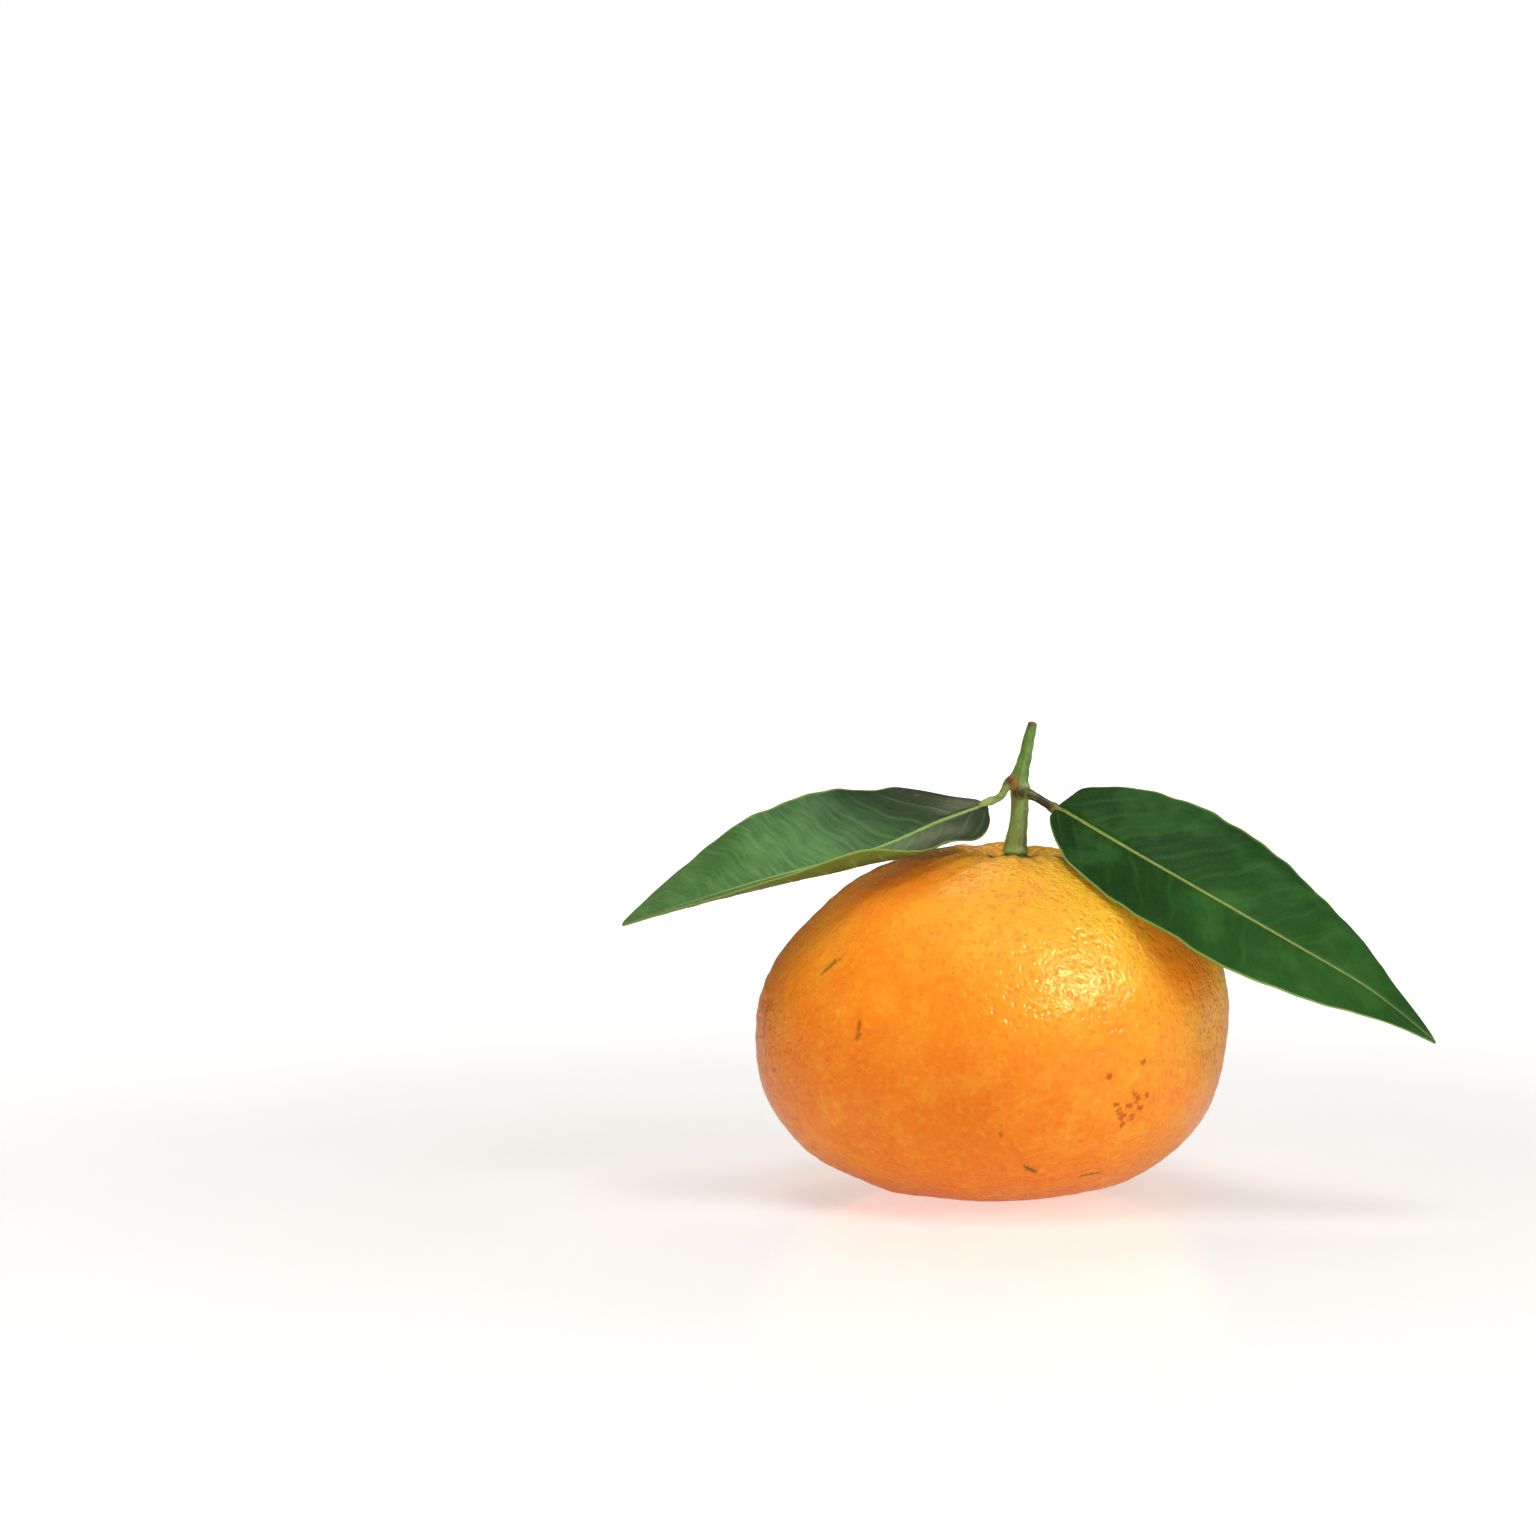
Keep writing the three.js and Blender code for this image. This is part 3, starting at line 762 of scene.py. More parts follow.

# %% [markdown]
# ## The peel
# Clementine peel is waxy and full of oil glands, small pits about a millimetre apart that break every
# highlight into glints. A Voronoi texture gives one cell per gland, and its distance to the cell's middle
# becomes a pit. Two sizes are mixed, because real peel has both. The colour runs from deep orange low down
# and on the left to golden at the crown and on the right. That is painted light: golden where the key and
# overhead lamps fall, and deeper orange as painted shade on the left. Soft mottling and a slow drift of tone
# lie over it, golden specks on the crinkle's tops are painted glints, and the pits are a shade deeper than
# the skin between them. The wax shows as a low roughness and a warm tint of the highlights, so no separate
# coat is needed. A little light goes into the skin before it comes out, which keeps the shaded side warm.

# %% Glands
WARP_SIZE = 3 * MM
WARP_REACH = 1.2 * MM

glands, given, result = new_group(
    "glands",
    {"Vector": (VECTOR, None), "Spacing": (FLOAT, 0.001)},
    {"Pit": FLOAT},
)
warp = put(glands, "ShaderNodeTexNoise", {"Vector": given["Vector"], "Scale": 1 / WARP_SIZE, "Detail": 1.0})
warp_centred = put(glands, "ShaderNodeVectorMath", {0: warp.outputs["Color"], 1: (0.5, 0.5, 0.5)},
                   operation="SUBTRACT")
warp_small = put(glands, "ShaderNodeVectorMath", {0: warp_centred.outputs[0], "Scale": WARP_REACH},
                 operation="SCALE")
warped = put(glands, "ShaderNodeVectorMath", {0: given["Vector"], 1: warp_small.outputs[0]}, operation="ADD")
gland_scale = calc(glands, "DIVIDE", 1.0, given["Spacing"])
gland_cells = put(glands, "ShaderNodeTexVoronoi", {"Vector": warped.outputs[0], "Scale": gland_scale})
glands.links.new(remap(glands, gland_cells.outputs["Distance"], 0.1, 0.48, 1.0, 0.0), result["Pit"])

# %% Peel
DEEP_ORANGE = colour("#f08420")
ORANGE = colour("#f59c2c")
GOLDEN = colour("#fac43c")
PIT_ORANGE = colour("#e86c10")
BIG_GLAND = 1.1 * MM
SMALL_GLAND = 0.6 * MM
PIT_TINT = 0.38
CRINKLE_SIZE = 0.85 * MM
PATCH_SIZE = 5 * MM
DRIFT_SIZE = 16 * MM

peel_finish, tree, shader, place = new_material("clementine_peel")
apart = put(tree, "ShaderNodeSeparateXYZ", {0: place})
# painted light: golden towards the crown and the right side, where the key and overhead lamps fall, and
# deeper orange as painted shade on the left; the drift from place to place is the skin's own tone
lit_crown_gold = remap(tree, apart.outputs["Z"], 4 * MM, 44 * MM)
lit_side_gold = remap(tree, apart.outputs["X"], -22 * MM, 24 * MM, -0.34, 0.24)
drift = calc(tree, "MULTIPLY_ADD", noise(tree, place, DRIFT_SIZE, 3.0), 0.6, -0.35)
lit_gold_and_drift = calc(tree, "ADD", calc(tree, "ADD", lit_crown_gold, lit_side_gold), drift)
ground_shade = mix(tree, remap(tree, lit_gold_and_drift, -0.1, 0.75), DEEP_ORANGE, ORANGE)
ground_shade = mix(tree, remap(tree, lit_gold_and_drift, 0.4, 1.2), ground_shade, GOLDEN)
patchy = put(tree, "ShaderNodeGroup", node_tree=mottle, inputs={
    "Vector": place, "Color": ground_shade, "Light": GOLDEN, "Dark": DEEP_ORANGE,
    "Size": PATCH_SIZE, "Amount": 0.22})
big_glands, small_glands = (
    put(tree, "ShaderNodeGroup", node_tree=glands, inputs={"Vector": place, "Spacing": spacing})
    for spacing in (BIG_GLAND, SMALL_GLAND)
)
pits = calc(tree, "MAXIMUM", big_glands.outputs[0], calc(tree, "MULTIPLY", small_glands.outputs[0], 0.5))
crinkle = noise(tree, place, CRINKLE_SIZE, 3.0, 0.55)
# painted glints: small golden specks on the tops of the crinkle
peel_shade = mix(tree, remap(tree, crinkle, 0.48, 0.72, 0.0, 0.28), patchy.outputs[0], GOLDEN)
peel_shade = mix(tree, calc(tree, "MULTIPLY", pits, PIT_TINT), peel_shade, PIT_ORANGE)

# %% [markdown]
# Fruit from a real tree has rubbed against twigs. A few marks are placed by the two angles that shaped the
# skin, so each one lies exactly on it: a thin scratch, some short scabs, and a cluster of brown specks. Two
# wide patches of deeper orange are painted shade: they lie where the leaves hang over the skin, where the
# lights already shade it, and make that shade deeper and warmer.

# %% Marks on the peel
SCAB = colour("#7d5a20")
RUSSET = colour("#b0601c")
SPECK_BROWN = colour("#ac5014")
# each: degrees round, degrees from the top, slope in degrees, half length and half width in millimetres,
# strength, colour
PEEL_MARKS = (
    (-81.5, 129.0, 40, 1.5, 0.42, 0.95, SCAB),
    (-60.0, 134.5, -12, 2.0, 0.36, 0.85, SCAB),
    (-90.5, 111.5, 84, 1.1, 0.36, 0.85, RUSSET),
    (-126.5, 85.5, 88, 1.5, 0.42, 0.85, RUSSET),
    (-143.0, 67.5, -58, 2.1, 0.55, 0.75, SCAB),
    (-165.5, 87.5, 92, 2.4, 0.6, 0.7, RUSSET),
    (-120.0, 128.0, 20, 1.0, 0.3, 0.4, SCAB),
    (-150.0, 104.0, 65, 0.9, 0.25, 0.45, RUSSET),
    (40.0, 80.0, 30, 2.4, 0.4, 0.6, SCAB),
    (110.0, 118.0, -40, 1.6, 0.35, 0.6, RUSSET),
    (165.0, 70.0, 75, 1.3, 0.35, 0.5, RUSSET),
)
# painted shade: the deeper orange laid where the leaves shadow the skin
PAINTED_SHADE_ORANGE = colour("#ee6a12")
# each painted leaf shadow: degrees round, degrees from the top, millimetres from its middle to where it starts
# to fade and to where it ends, strength
PAINTED_LEAF_SHADOWS = ((-36.0, 62.0, 2.0, 12.0, 0.55), (-146.0, 36.0, 3.0, 11.0, 0.5))
SPECK_MIDDLE = (-57.5, 105.0)
# each: degrees round and degrees down from the middle of the cluster, size in millimetres
SPECKS = (
    (0.0, 0.0, 0.5), (-2.6, 1.6, 0.42), (2.1, -1.9, 0.45), (3.6, 1.0, 0.4), (-1.2, 3.4, 0.42),
    (1.6, 3.9, 0.36), (-3.9, -1.1, 0.34), (5.0, -2.8, 0.3), (0.8, -3.8, 0.4), (-0.6, 6.2, 0.3),
    (-6.5, -9.0, 0.3), (3.0, -12.0, 0.36),
)
SPECK_TURN = 50
SPECK_STRETCH = 1.5
SPECK_HALF_WIDTH = 0.55
SPECK_STRENGTH = 0.75
PEEL_MARKS += tuple(
    (SPECK_MIDDLE[0] + round_by, SPECK_MIDDLE[1] + down_by, SPECK_TURN * round_by, SPECK_STRETCH * size,
     SPECK_HALF_WIDTH, SPECK_STRENGTH, SPECK_BROWN)
    for round_by, down_by, size in SPECKS
)


def on_skin(degrees_round, degrees_down, slope=0.0):
    """A point of the skin, and the direction on it that slopes down by so many degrees from level."""
    step = 1e-4
    a, p = np.radians([degrees_round, degrees_down])
    middle = fruit_point(a, p)
    level = fruit_point(a + step, p) - middle
    down = fruit_point(a, p + step) - middle
    level, down = level / np.linalg.norm(level), down / np.linalg.norm(down)
    way = level * math.cos(math.radians(slope)) + down * math.sin(math.radians(slope))
    return middle.tolist(), way.tolist()


for degrees_round, degrees_down, slope, half_length, half_width, strength, shade in PEEL_MARKS:
    middle, way = on_skin(degrees_round, degrees_down, slope)
    made = put(tree, "ShaderNodeGroup", node_tree=mark, inputs={
        "Vector": place, "Middle": middle, "Way": way, "Half Length": half_length * MM,
        "Half Width": half_width * MM})
    peel_shade = mix(tree, calc(tree, "MULTIPLY", made.outputs["Mask"], strength), peel_shade, shade)

# painted shade: deeper orange under each leaf, fading away from its middle
for degrees_round, degrees_down, near, far, share in PAINTED_LEAF_SHADOWS:
    middle, _ = on_skin(degrees_round, degrees_down)
    leaf_shadow_far = put(tree, "ShaderNodeVectorMath", {0: place, 1: middle}, operation="DISTANCE")
    leaf_shadow_share = remap(tree, leaf_shadow_far.outputs["Value"], near * MM, far * MM, share, 0.0)
    peel_shade = mix(tree, leaf_shadow_share, peel_shade, PAINTED_SHADE_ORANGE)

DOT_SPACING = 1.7 * MM
dots = remap(tree, noise(tree, place, DOT_SPACING, 2.0), 0.73, 0.8)
peel_shade = mix(tree, calc(tree, "MULTIPLY", dots, 0.45), peel_shade, RUSSET)

# %% Peel shader
SCAR_BROWN = colour("#6b4a24")
SCAR_RADIUS = 0.8 * MM
SCAR_FADED = 1.6 * MM
PEEL_RELIEF = 0.14 * MM

scar_far = put(tree, "ShaderNodeVectorMath", {0: place, 1: (0.0, 0.0, HOLLOW_DEPTH)}, operation="DISTANCE")
scar = remap(tree, scar_far.outputs["Value"], SCAR_RADIUS, SCAR_FADED, 1.0, 0.0)
peel_shade = mix(tree, scar, peel_shade, SCAR_BROWN)
peel_height = calc(tree, "SUBTRACT", calc(tree, "MULTIPLY", crinkle, 1.3), calc(tree, "MULTIPLY", pits, 0.7))
peel_bump = put(tree, "ShaderNodeBump", {"Height": peel_height, "Strength": 1.0, "Distance": PEEL_RELIEF})
peel_rough = remap(tree, pits, 0.0, 1.0, 0.2, 0.28)
finish(tree, shader, peel_shade, peel_rough, peel_bump.outputs[0])
shader.inputs["Specular IOR Level"].default_value = 0.3
shader.inputs["Specular Tint"].default_value = (1.0, 0.93, 0.45, 1.0)
shader.inputs["Subsurface Weight"].default_value = 0.5
shader.inputs["Subsurface Radius"].default_value = (1.0, 0.32, 0.08)
shader.inputs["Subsurface Scale"].default_value = 2.5 * MM
fruit.data.materials.append(peel_finish)
print("peel nodes:", len(tree.nodes))

# %% [markdown]
# ## Bark
# The twig is green with brown, corky patches at the node and thin brown streaks below it. The snipped end
# has dried brown. The place along the stem is kept on the mesh, so each patch sits where it belongs
# whatever the stem's bend.

# %% Stem finish
TWIG_GREEN = colour("#5d8636")
STALK_GREEN = colour("#6f8040")
CORK = colour("#8a6834")
DARK_CORK = colour("#38240f")
DRY_END = colour("#6a5a38")
BARK_LIGHT = colour("#7b9d46")
BARK_DARK = colour("#465c28")
BARK_STREAK = colour("#59431f")
FOOT_GREEN = colour("#8ba35e")
BARK_DEPTH = 0.09 * MM
NODE_SCAR = (3.6 * MM, -2.35 * MM, 51.15 * MM)

stem_finish, tree, shader, place = new_material("green_bark")
along = attribute(tree, "along")
fibre = put(tree, "ShaderNodeGroup", node_tree=streaks, inputs={
    "Vector": place, "Stretch": (1.0, 1.0, 0.14), "Size": 0.55 * MM})
stem_shade = mix(tree, remap(tree, along, NODE - 0.08, NODE + 0.06), STALK_GREEN, TWIG_GREEN)
patchy = put(tree, "ShaderNodeGroup", node_tree=mottle, inputs={
    "Vector": place, "Color": stem_shade, "Light": BARK_LIGHT, "Dark": BARK_DARK,
    "Size": 1.6 * MM, "Amount": 0.6})
below_node = remap(tree, along, NODE, NODE - 0.25, 0.25, 1.0)
brown_streak = calc(tree, "MULTIPLY", remap(tree, fibre.outputs[0], 0.52, 0.66), below_node)
sideways = put(tree, "ShaderNodeSeparateXYZ", {0: place}).outputs["X"]
left_side = remap(tree, sideways, 3.9 * MM, 2.9 * MM)
streak_share = calc(tree, "MULTIPLY", brown_streak, calc(tree, "MULTIPLY_ADD", left_side, 0.35, 0.55))
stem_shade = mix(tree, streak_share, patchy.outputs[0], BARK_STREAK)
near_node = calc(tree, "ABSOLUTE", calc(tree, "SUBTRACT", along, NODE + 0.025))
wander = calc(tree, "MULTIPLY_ADD", noise(tree, place, 0.9 * MM, 3.0), 0.1, -0.05)
cork = remap(tree, calc(tree, "ADD", near_node, wander), 0.035, 0.075, 1.0, 0.0)
stem_shade = mix(tree, calc(tree, "MULTIPLY", cork, left_side), stem_shade, CORK)
node_far = put(tree, "ShaderNodeVectorMath", {0: place, 1: NODE_SCAR}, operation="DISTANCE").outputs["Value"]
ragged_far = calc(tree, "ADD", node_far, calc(tree, "MULTIPLY", wander, 22 * MM))
dark = remap(tree, ragged_far, 0.3 * MM, 1.35 * MM, 0.95, 0.0)
stem_shade = mix(tree, dark, stem_shade, DARK_CORK)
stem_shade = mix(tree, remap(tree, along, 0.94, 0.99), stem_shade, DRY_END)
stem_shade = mix(tree, remap(tree, along, 0.12, 0.02, 0.0, 0.7), stem_shade, FOOT_GREEN)
stem_height = calc(tree, "ADD", fibre.outputs[0], noise(tree, place, 0.3 * MM, 3.0))
stem_bump = put(tree, "ShaderNodeBump", {"Height": stem_height, "Strength": 0.6, "Distance": BARK_DEPTH})
finish(tree, shader, stem_shade, remap(tree, fibre.outputs[0], 0.3, 0.7, 0.42, 0.62), stem_bump.outputs[0])
shader.inputs["Specular IOR Level"].default_value = 0.3
stem.data.materials.append(stem_finish)


# %% [markdown]
# The leaf stalks are the same bark, younger. The left one is pale green. The right one is browner and
# nearly black on its shaded run. Both end in a lighter joint. One function makes both finishes from three
# colours.

# %% Leaf stalk finish
STALK_DEPTH = 0.07 * MM


def stalk_finish(name, base, dark_side, joint, foot):
    """Bark for a leaf stalk: mottled, streaked along its length, lighter at the joint with the blade, and of
    another colour at its foot on the twig."""
    material, tree, shader, place = new_material(name)
    along = attribute(tree, "along")
    fibre = put(tree, "ShaderNodeGroup", node_tree=streaks, inputs={
        "Vector": place, "Stretch": (0.25, 1.0, 0.6), "Size": 0.4 * MM})
    patchy = put(tree, "ShaderNodeGroup", node_tree=mottle, inputs={
        "Vector": place, "Color": base, "Light": joint, "Dark": dark_side, "Size": 1.1 * MM, "Amount": 0.7})
    streaky = mix(tree, remap(tree, fibre.outputs[0], 0.5, 0.65, 0.0, 0.5), patchy.outputs[0], dark_side)
    shade = mix(tree, remap(tree, along, 0.62, 0.76), streaky, joint)
    ragged_foot = calc(tree, "MULTIPLY_ADD", noise(tree, place, 0.8 * MM, 2.0), 0.3, along)
    shade = mix(tree, remap(tree, ragged_foot, 0.5, 0.3), shade, foot)
    height = calc(tree, "ADD", fibre.outputs[0], noise(tree, place, 0.25 * MM, 3.0))
    bump = put(tree, "ShaderNodeBump", {"Height": height, "Strength": 0.5, "Distance": STALK_DEPTH})
    finish(tree, shader, shade, remap(tree, fibre.outputs[0], 0.3, 0.7, 0.4, 0.6), bump.outputs[0])
    shader.inputs["Specular IOR Level"].default_value = 0.25
    return material


left_bark = stalk_finish(
    "pale_stalk_bark", base=colour("#7f9650"), dark_side=colour("#56642f"), joint=colour("#8fa45c"),
    foot=colour("#5e4420"))
right_bark = stalk_finish(
    "brown_stalk_bark", base=colour("#322f16"), dark_side=colour("#1a180b"), joint=colour("#716c36"),
    foot=colour("#4c4a22"))
left_stalk.data.materials.append(left_bark)
right_stalk.data.materials.append(right_bark)

# %% [markdown]
# ## The calyx's finish
# The sepals have dried to an olive brown, and their tips are nearly black. The share of the star's radius
# is kept on the mesh and drives the change.

# %% Calyx finish
SEPAL_OLIVE = colour("#7c8244")
SEPAL_LIGHT = colour("#a09a5c")
SEPAL_DARK = colour("#54522a")
SEPAL_TIP = colour("#33281a")
SEPAL_DEPTH = 0.1 * MM

calyx_finish, tree, shader, place = new_material("dry_calyx")
reach = attribute(tree, "reach")
patchy = put(tree, "ShaderNodeGroup", node_tree=mottle, inputs={
    "Vector": place, "Color": SEPAL_OLIVE, "Light": SEPAL_LIGHT, "Dark": SEPAL_DARK,
    "Size": 1.2 * MM, "Amount": 0.8})
calyx_shade = mix(tree, remap(tree, reach, 0.72, 1.0, 0.0, 0.85), patchy.outputs[0], SEPAL_TIP)
calyx_grain = noise(tree, place, 0.3 * MM, 4.0)
calyx_bump = put(tree, "ShaderNodeBump", {"Height": calyx_grain, "Strength": 0.7, "Distance": SEPAL_DEPTH})
finish(tree, shader, calyx_shade, remap(tree, calyx_grain, 0.3, 0.7, 0.6, 0.8), calyx_bump.outputs[0])
shader.inputs["Specular IOR Level"].default_value = 0.2
calyx.data.materials.append(calyx_finish)

# %% [markdown]
# ## The leaves' finish
# The upper face is dark with a soft gloss, and the lower face is paler and matt. The mesh keeps which face
# a point is on, how near it is to a vein, to the midrib and to the margin. The midrib and the very edge are
# a light yellow green. Between the side veins a fine net of tiny veins breaks up the gloss, drawn by two
# Voronoi textures that measure the distance to their cells' borders. On the upper face, lighter streaks
# along the side veins and a fresher tip are painted sheen, and a darker base is painted shade.

# %% Leaf finish
DEEP_SHADE = colour("#10280f")
UNDER_GREEN = colour("#5d7430")
UNDER_LIGHT = colour("#728a40")
UNDER_DARK = colour("#4a5e28")
UNDER_NET = colour("#6f8340")
UNDER_VEIN = colour("#a8b46c")
MARGIN_GREEN = colour("#7f9c48")
BLOTCH = colour("#6e6a34")
NET_SIZE = 0.9 * MM
FINE_NET_SIZE = 0.35 * MM
LEAF_DEPTH = 0.07 * MM


def leaf_finish(name, deep, fresh, rib_shade, gloss_level, sheen_and_relief_streaks, painted_base_shade):
    """Leaf material: dark with a soft gloss above, paler and matt below, from the values kept on the blade.
    deep and fresh are the two greens of the upper face. Counting veins from base to tip makes it fresher
    towards the tip, a painted sheen, and painted_base_shade darkens it near the base, a painted shade.
    sheen_and_relief_streaks is how much the streaks show: lighter green as painted sheen, and relief."""
    material, tree, shader, place = new_material(name)
    labels = ("vein", "rib", "margin", "side", "count")
    vein, rib, margin, side, count = (attribute(tree, label) for label in labels)
    lengthwise = calc(tree, "MULTIPLY", count, 7.0)
    crosswise = calc(tree, "MULTIPLY", margin, 2.5)
    streak_place = put(tree, "ShaderNodeCombineXYZ", {"X": lengthwise, "Y": crosswise, "Z": side}).outputs[0]
    streak_noise = put(tree, "ShaderNodeTexNoise", {"Vector": streak_place, "Scale": 1.0, "Detail": 3.0})
    # painted sheen: fine lighter streaks along the side veins
    painted_sheen_streak = remap(tree, streak_noise.outputs[0], 0.4, 0.7)
    patchy = put(tree, "ShaderNodeGroup", node_tree=mottle, inputs={
        "Vector": place, "Color": deep, "Light": fresh, "Dark": DEEP_SHADE, "Size": 7 * MM, "Amount": 0.55})
    net, fine_net = (
        put(tree, "ShaderNodeTexVoronoi", {"Vector": place, "Scale": 1 / size}, feature="DISTANCE_TO_EDGE")
        for size in (NET_SIZE, FINE_NET_SIZE)
    )
    net_line = remap(tree, net.outputs["Distance"], 0.0, 0.12, 1.0, 0.0)
    fine_line = remap(tree, fine_net.outputs["Distance"], 0.0, 0.16, 1.0, 0.0)
    faint_net = calc(tree, "MULTIPLY", net_line, 0.7)
    faint_fine = calc(tree, "MULTIPLY", fine_line, 0.35)
    lines = calc(tree, "MAXIMUM", faint_net, faint_fine)
    top = mix(tree, calc(tree, "MULTIPLY", lines, 0.22), patchy.outputs[0], fresh)
    # painted sheen: the streaks lighten the green
    top = mix(tree, calc(tree, "MULTIPLY", painted_sheen_streak, sheen_and_relief_streaks), top, fresh)
    # painted sheen: fresher green towards the tip
    top = mix(tree, remap(tree, count, 1.0, 10.0, 0.0, 0.42), top, fresh)
    # painted shade: darker green near the base
    top = mix(tree, remap(tree, count, 0.5, 6.0, painted_base_shade, 0.0), top, DEEP_SHADE)
    top = mix(tree, calc(tree, "MULTIPLY", vein, 0.3), top, fresh)
    below = put(tree, "ShaderNodeGroup", node_tree=mottle, inputs={
        "Vector": place, "Color": UNDER_GREEN, "Light": UNDER_LIGHT, "Dark": UNDER_DARK,
        "Size": 4 * MM, "Amount": 0.6})
    below_shade = mix(tree, calc(tree, "MULTIPLY", lines, 0.3), below.outputs[0], UNDER_NET)
    below_shade = mix(tree, calc(tree, "MULTIPLY", vein, 0.5), below_shade, UNDER_VEIN)
    shade = mix(tree, side, below_shade, top)
    shade = mix(tree, remap(tree, rib, 0.3, 0.6), shade, rib_shade)
    shade = mix(tree, remap(tree, margin, 0.955, 0.985, 0.0, 0.8), shade, MARGIN_GREEN)
    blotch = remap(tree, noise(tree, place, 2.6 * MM, 2.0), 0.74, 0.8, 0.0, 0.35)
    shade = mix(tree, blotch, shade, BLOTCH)
    pressed_net = calc(tree, "MULTIPLY", lines, -0.5)
    height = calc(tree, "MULTIPLY_ADD", noise(tree, place, 1.4 * MM, 4.0), 0.9, pressed_net)
    height = calc(tree, "MULTIPLY_ADD", streak_noise.outputs[0], sheen_and_relief_streaks * 2, height)
    bump = put(tree, "ShaderNodeBump", {"Height": height, "Strength": 0.5, "Distance": LEAF_DEPTH})
    gloss = remap(tree, noise(tree, place, 3 * MM, 3.0), 0.3, 0.7, 0.34, 0.46)
    rough = calc(tree, "MULTIPLY_ADD", calc(tree, "SUBTRACT", 1.0, side), 0.25, gloss)
    finish(tree, shader, shade, rough, bump.outputs[0])
    shader.inputs["Specular IOR Level"].default_value = gloss_level
    shader.inputs["Specular Tint"].default_value = (0.75, 1.0, 0.7, 1.0)
    return material


# painted light: the left leaf's lighter greens stand in for the sheen it catches, and the right leaf's darker
# greens are painted shade on a face turned from the lamps
left_green_lit = leaf_finish(
    "leaf_left_green", deep=colour("#2a5424"), fresh=colour("#5c8e48"), rib_shade=colour("#86a356"),
    gloss_level=0.36, sheen_and_relief_streaks=0.65, painted_base_shade=1.0)
right_green_shaded = leaf_finish(
    "leaf_right_green", deep=colour("#173914"), fresh=colour("#3c7230"), rib_shade=colour("#86964e"),
    gloss_level=0.1, sheen_and_relief_streaks=0.15, painted_base_shade=0.25)
left_leaf.data.materials.append(left_green_lit)
right_leaf.data.materials.append(right_green_shaded)

# %% [markdown]
# ## The studio
# The fruit stands on a white table with a slight shine, lit from below near the fruit, as acrylic tables
# for small things are. Far away it glows as white as the room, so no horizon shows, and its glow is dimmed
# in reflections, so it lays no grey film on the peel. Most lamps only give light and make no highlights.
# Two only shine: the glint makes the small bright spots on the peel, and the sheen, overhead, the soft ones
# on the leaves. Two narrow warm beams reach the skin under the leaves, as small white cards would. A single
# bare lamp would give hard shadows and one burnt spot.

# %% Table
TABLE_HALF = 8.0
MIRROR_DIMMING = 0.45

corners = np.array([(-1, -1), (1, -1), (1, 1), (-1, 1)]) * TABLE_HALF
floor_mesh = bpy.data.meshes.new("table")
floor_mesh.from_pydata([(x, y, 0.0) for x, y in corners.tolist()], [], [(0, 1, 2, 3)])
floor = bpy.data.objects.new("table", floor_mesh)
bpy.context.scene.collection.objects.link(floor)

table_finish, tree, shader, place = new_material("pale_table")
table_shade = mix(tree, noise(tree, place, 60 * MM, 2.0), colour("#eeeeed"), colour("#ebebea"))
table_rough = remap(tree, noise(tree, place, 25 * MM, 2.0), 0.3, 0.7, 0.12, 0.16)
finish(tree, shader, table_shade, table_rough)
seen = put(tree, "ShaderNodeLightPath").outputs["Is Camera Ray"]
from_fruit = put(tree, "ShaderNodeVectorMath", {0: place}, operation="LENGTH").outputs["Value"]
# each glow: metres from the fruit where it starts to change and where it is done, the glow at both
near_glow = remap(tree, from_fruit, 0.08, 0.6, 0.3, 0.07)
far_glow = calc(tree, "MULTIPLY", remap(tree, from_fruit, 0.05, 0.4, 0.5, 1.0), seen)
mirrored = put(tree, "ShaderNodeLightPath").outputs["Is Glossy Ray"]
unmirrored = calc(tree, "MULTIPLY_ADD", mirrored, -MIRROR_DIMMING, 1.0)
table_glow = calc(tree, "MAXIMUM", calc(tree, "MULTIPLY", near_glow, unmirrored), far_glow)
tree.links.new(mix(tree, table_glow, colour("#000000"), colour("#ffffff")), shader.inputs["Emission Color"])
shader.inputs["Emission Strength"].default_value = 1.0
shader.inputs["Specular IOR Level"].default_value = 0.25
floor.data.materials.append(table_finish)


# %% Lights
WARM = (1.0, 0.86, 0.66)
AMBER = (1.0, 0.74, 0.48)
CREAM = (1.0, 0.92, 0.8)
CARD_DISTANCE = 0.35
CARD_BEAM = math.radians(6.5)
CARD_SIZE = 0.02
ROOM_LIGHT = 0.05


def heading(azimuth, elevation):
    """The way from the fruit to a place at that azimuth, in degrees to the right of the front, and that
    elevation, and the turn that makes a lamp there look back."""
    a, e = math.radians(azimuth), math.radians(elevation)
    way = np.array([math.sin(a) * math.cos(e), -math.cos(a) * math.cos(e), math.sin(e)])
    return way, (math.pi / 2 - e, 0.0, a)


def soft_light(name, azimuth, elevation, distance, size, power, job="both", tint=(1.0, 1.0, 1.0)):
    """A square soft light that looks at the middle of the fruit. Its job is light, which makes no
    highlights, shine, which makes nothing else, or both."""
    way, look_back = heading(azimuth, elevation)
    data = bpy.data.lights.new(name, "AREA")
    data.shape = "SQUARE"
    data.size = size
    data.energy = power
    data.color = tint
    lamp = bpy.data.objects.new(name, data)
    lamp.location = GIRTH_CENTRE + way * distance
    lamp.rotation_euler = look_back
    lamp.visible_glossy = job != "light"
    lamp.visible_diffuse = job != "shine"
    bpy.context.scene.collection.objects.link(lamp)


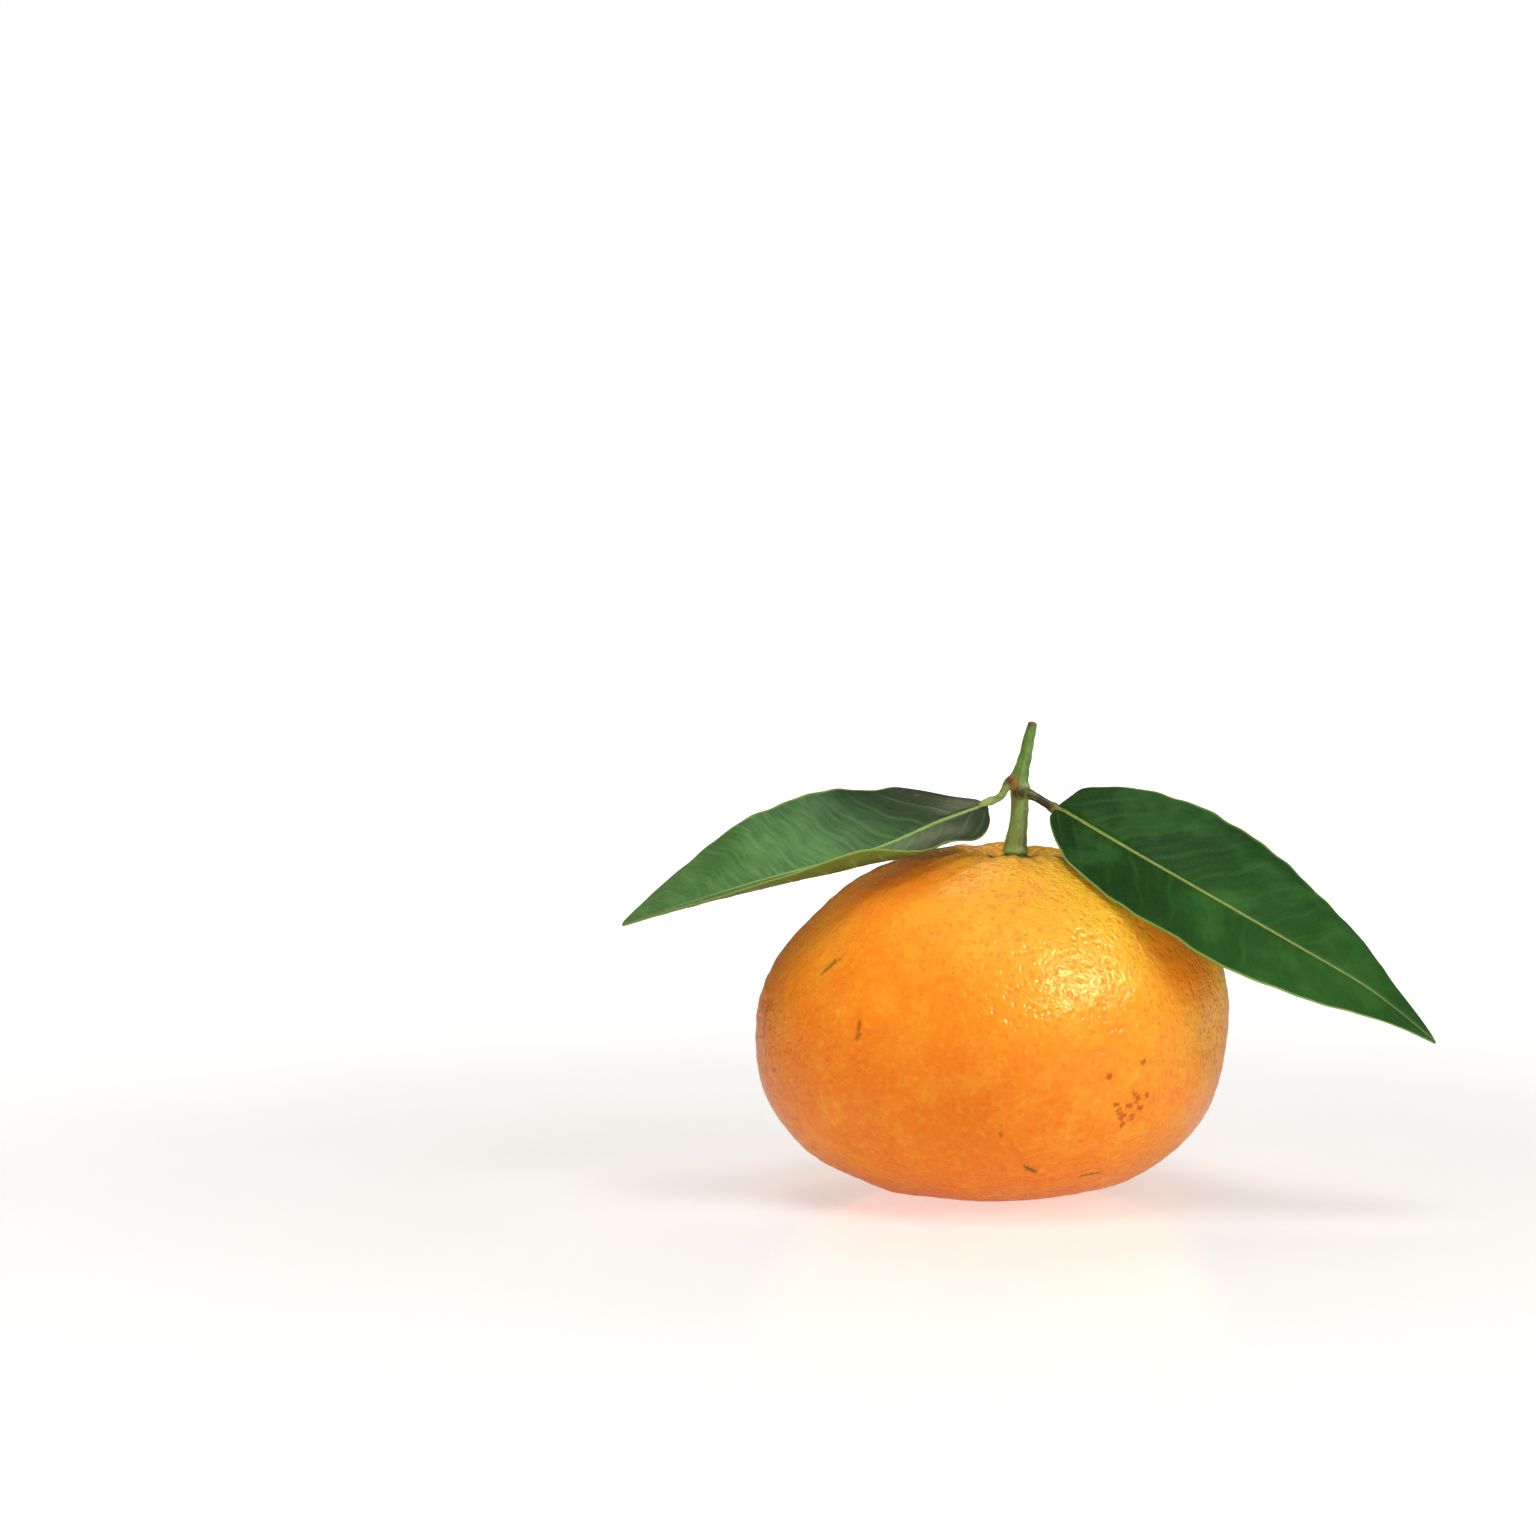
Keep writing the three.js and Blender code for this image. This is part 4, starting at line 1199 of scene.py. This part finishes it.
def card(name, degrees_round, degrees_down, azimuth, elevation, power):
    """A narrow soft beam at one place of the skin, as a small white card beside the fruit would send."""
    target = np.array(on_skin(degrees_round, degrees_down)[0])
    way, look_back = heading(azimuth, elevation)
    data = bpy.data.lights.new(name, "SPOT")
    data.energy = power
    data.color = WARM
    data.spot_size = CARD_BEAM
    data.spot_blend = 1.0
    data.shadow_soft_size = CARD_SIZE
    lamp = bpy.data.objects.new(name, data)
    lamp.location = target + way * CARD_DISTANCE
    lamp.rotation_euler = look_back
    lamp.visible_glossy = False
    bpy.context.scene.collection.objects.link(lamp)


# each: name, azimuth, elevation, distance and size in metres, watts, job, colour
soft_light("key", 42, 33, 0.75, 0.35, 1.3, "light")
soft_light("glint", 42, 33, 0.75, 0.3, 11.5, "shine")
soft_light("sheen", 0, 72, 0.8, 0.5, 1.9, "shine")
soft_light("top_fill", -5, 75, 0.9, 0.5, 2.9, "light")
soft_light("left_fill", -65, 18, 0.9, 0.6, 1.2, "light", AMBER)
soft_light("front_fill", -4, 4, 0.9, 0.2, 1.7, "light", CREAM)
soft_light("right_fill", 75, 5, 0.9, 0.3, 1.3, "light", WARM)
soft_light("top_back", -165, 52, 0.8, 0.35, 1.2, tint=WARM)
soft_light("back_fill", 180, 20, 0.9, 0.6, 2.2, "light")
# each: name, degrees round and from the top of the place it lights, azimuth, elevation, watts
card("right_card", -34, 63, -8, 2, 4.2)
card("left_card", -146, 36, -25, 6, 5.0)

world = bpy.data.worlds.new("white_room")
world.use_nodes = True
bpy.context.scene.world = world
tree = world.node_tree
backdrop = tree.nodes["Background"]
seen = put(tree, "ShaderNodeLightPath").outputs["Is Camera Ray"]
tree.links.new(calc(tree, "MULTIPLY_ADD", seen, 1 - ROOM_LIGHT, ROOM_LIGHT), backdrop.inputs["Strength"])
backdrop.inputs["Color"].default_value = (1.0, 1.0, 1.0, 1.0)
bpy.context.scene.view_settings.view_transform = "Standard"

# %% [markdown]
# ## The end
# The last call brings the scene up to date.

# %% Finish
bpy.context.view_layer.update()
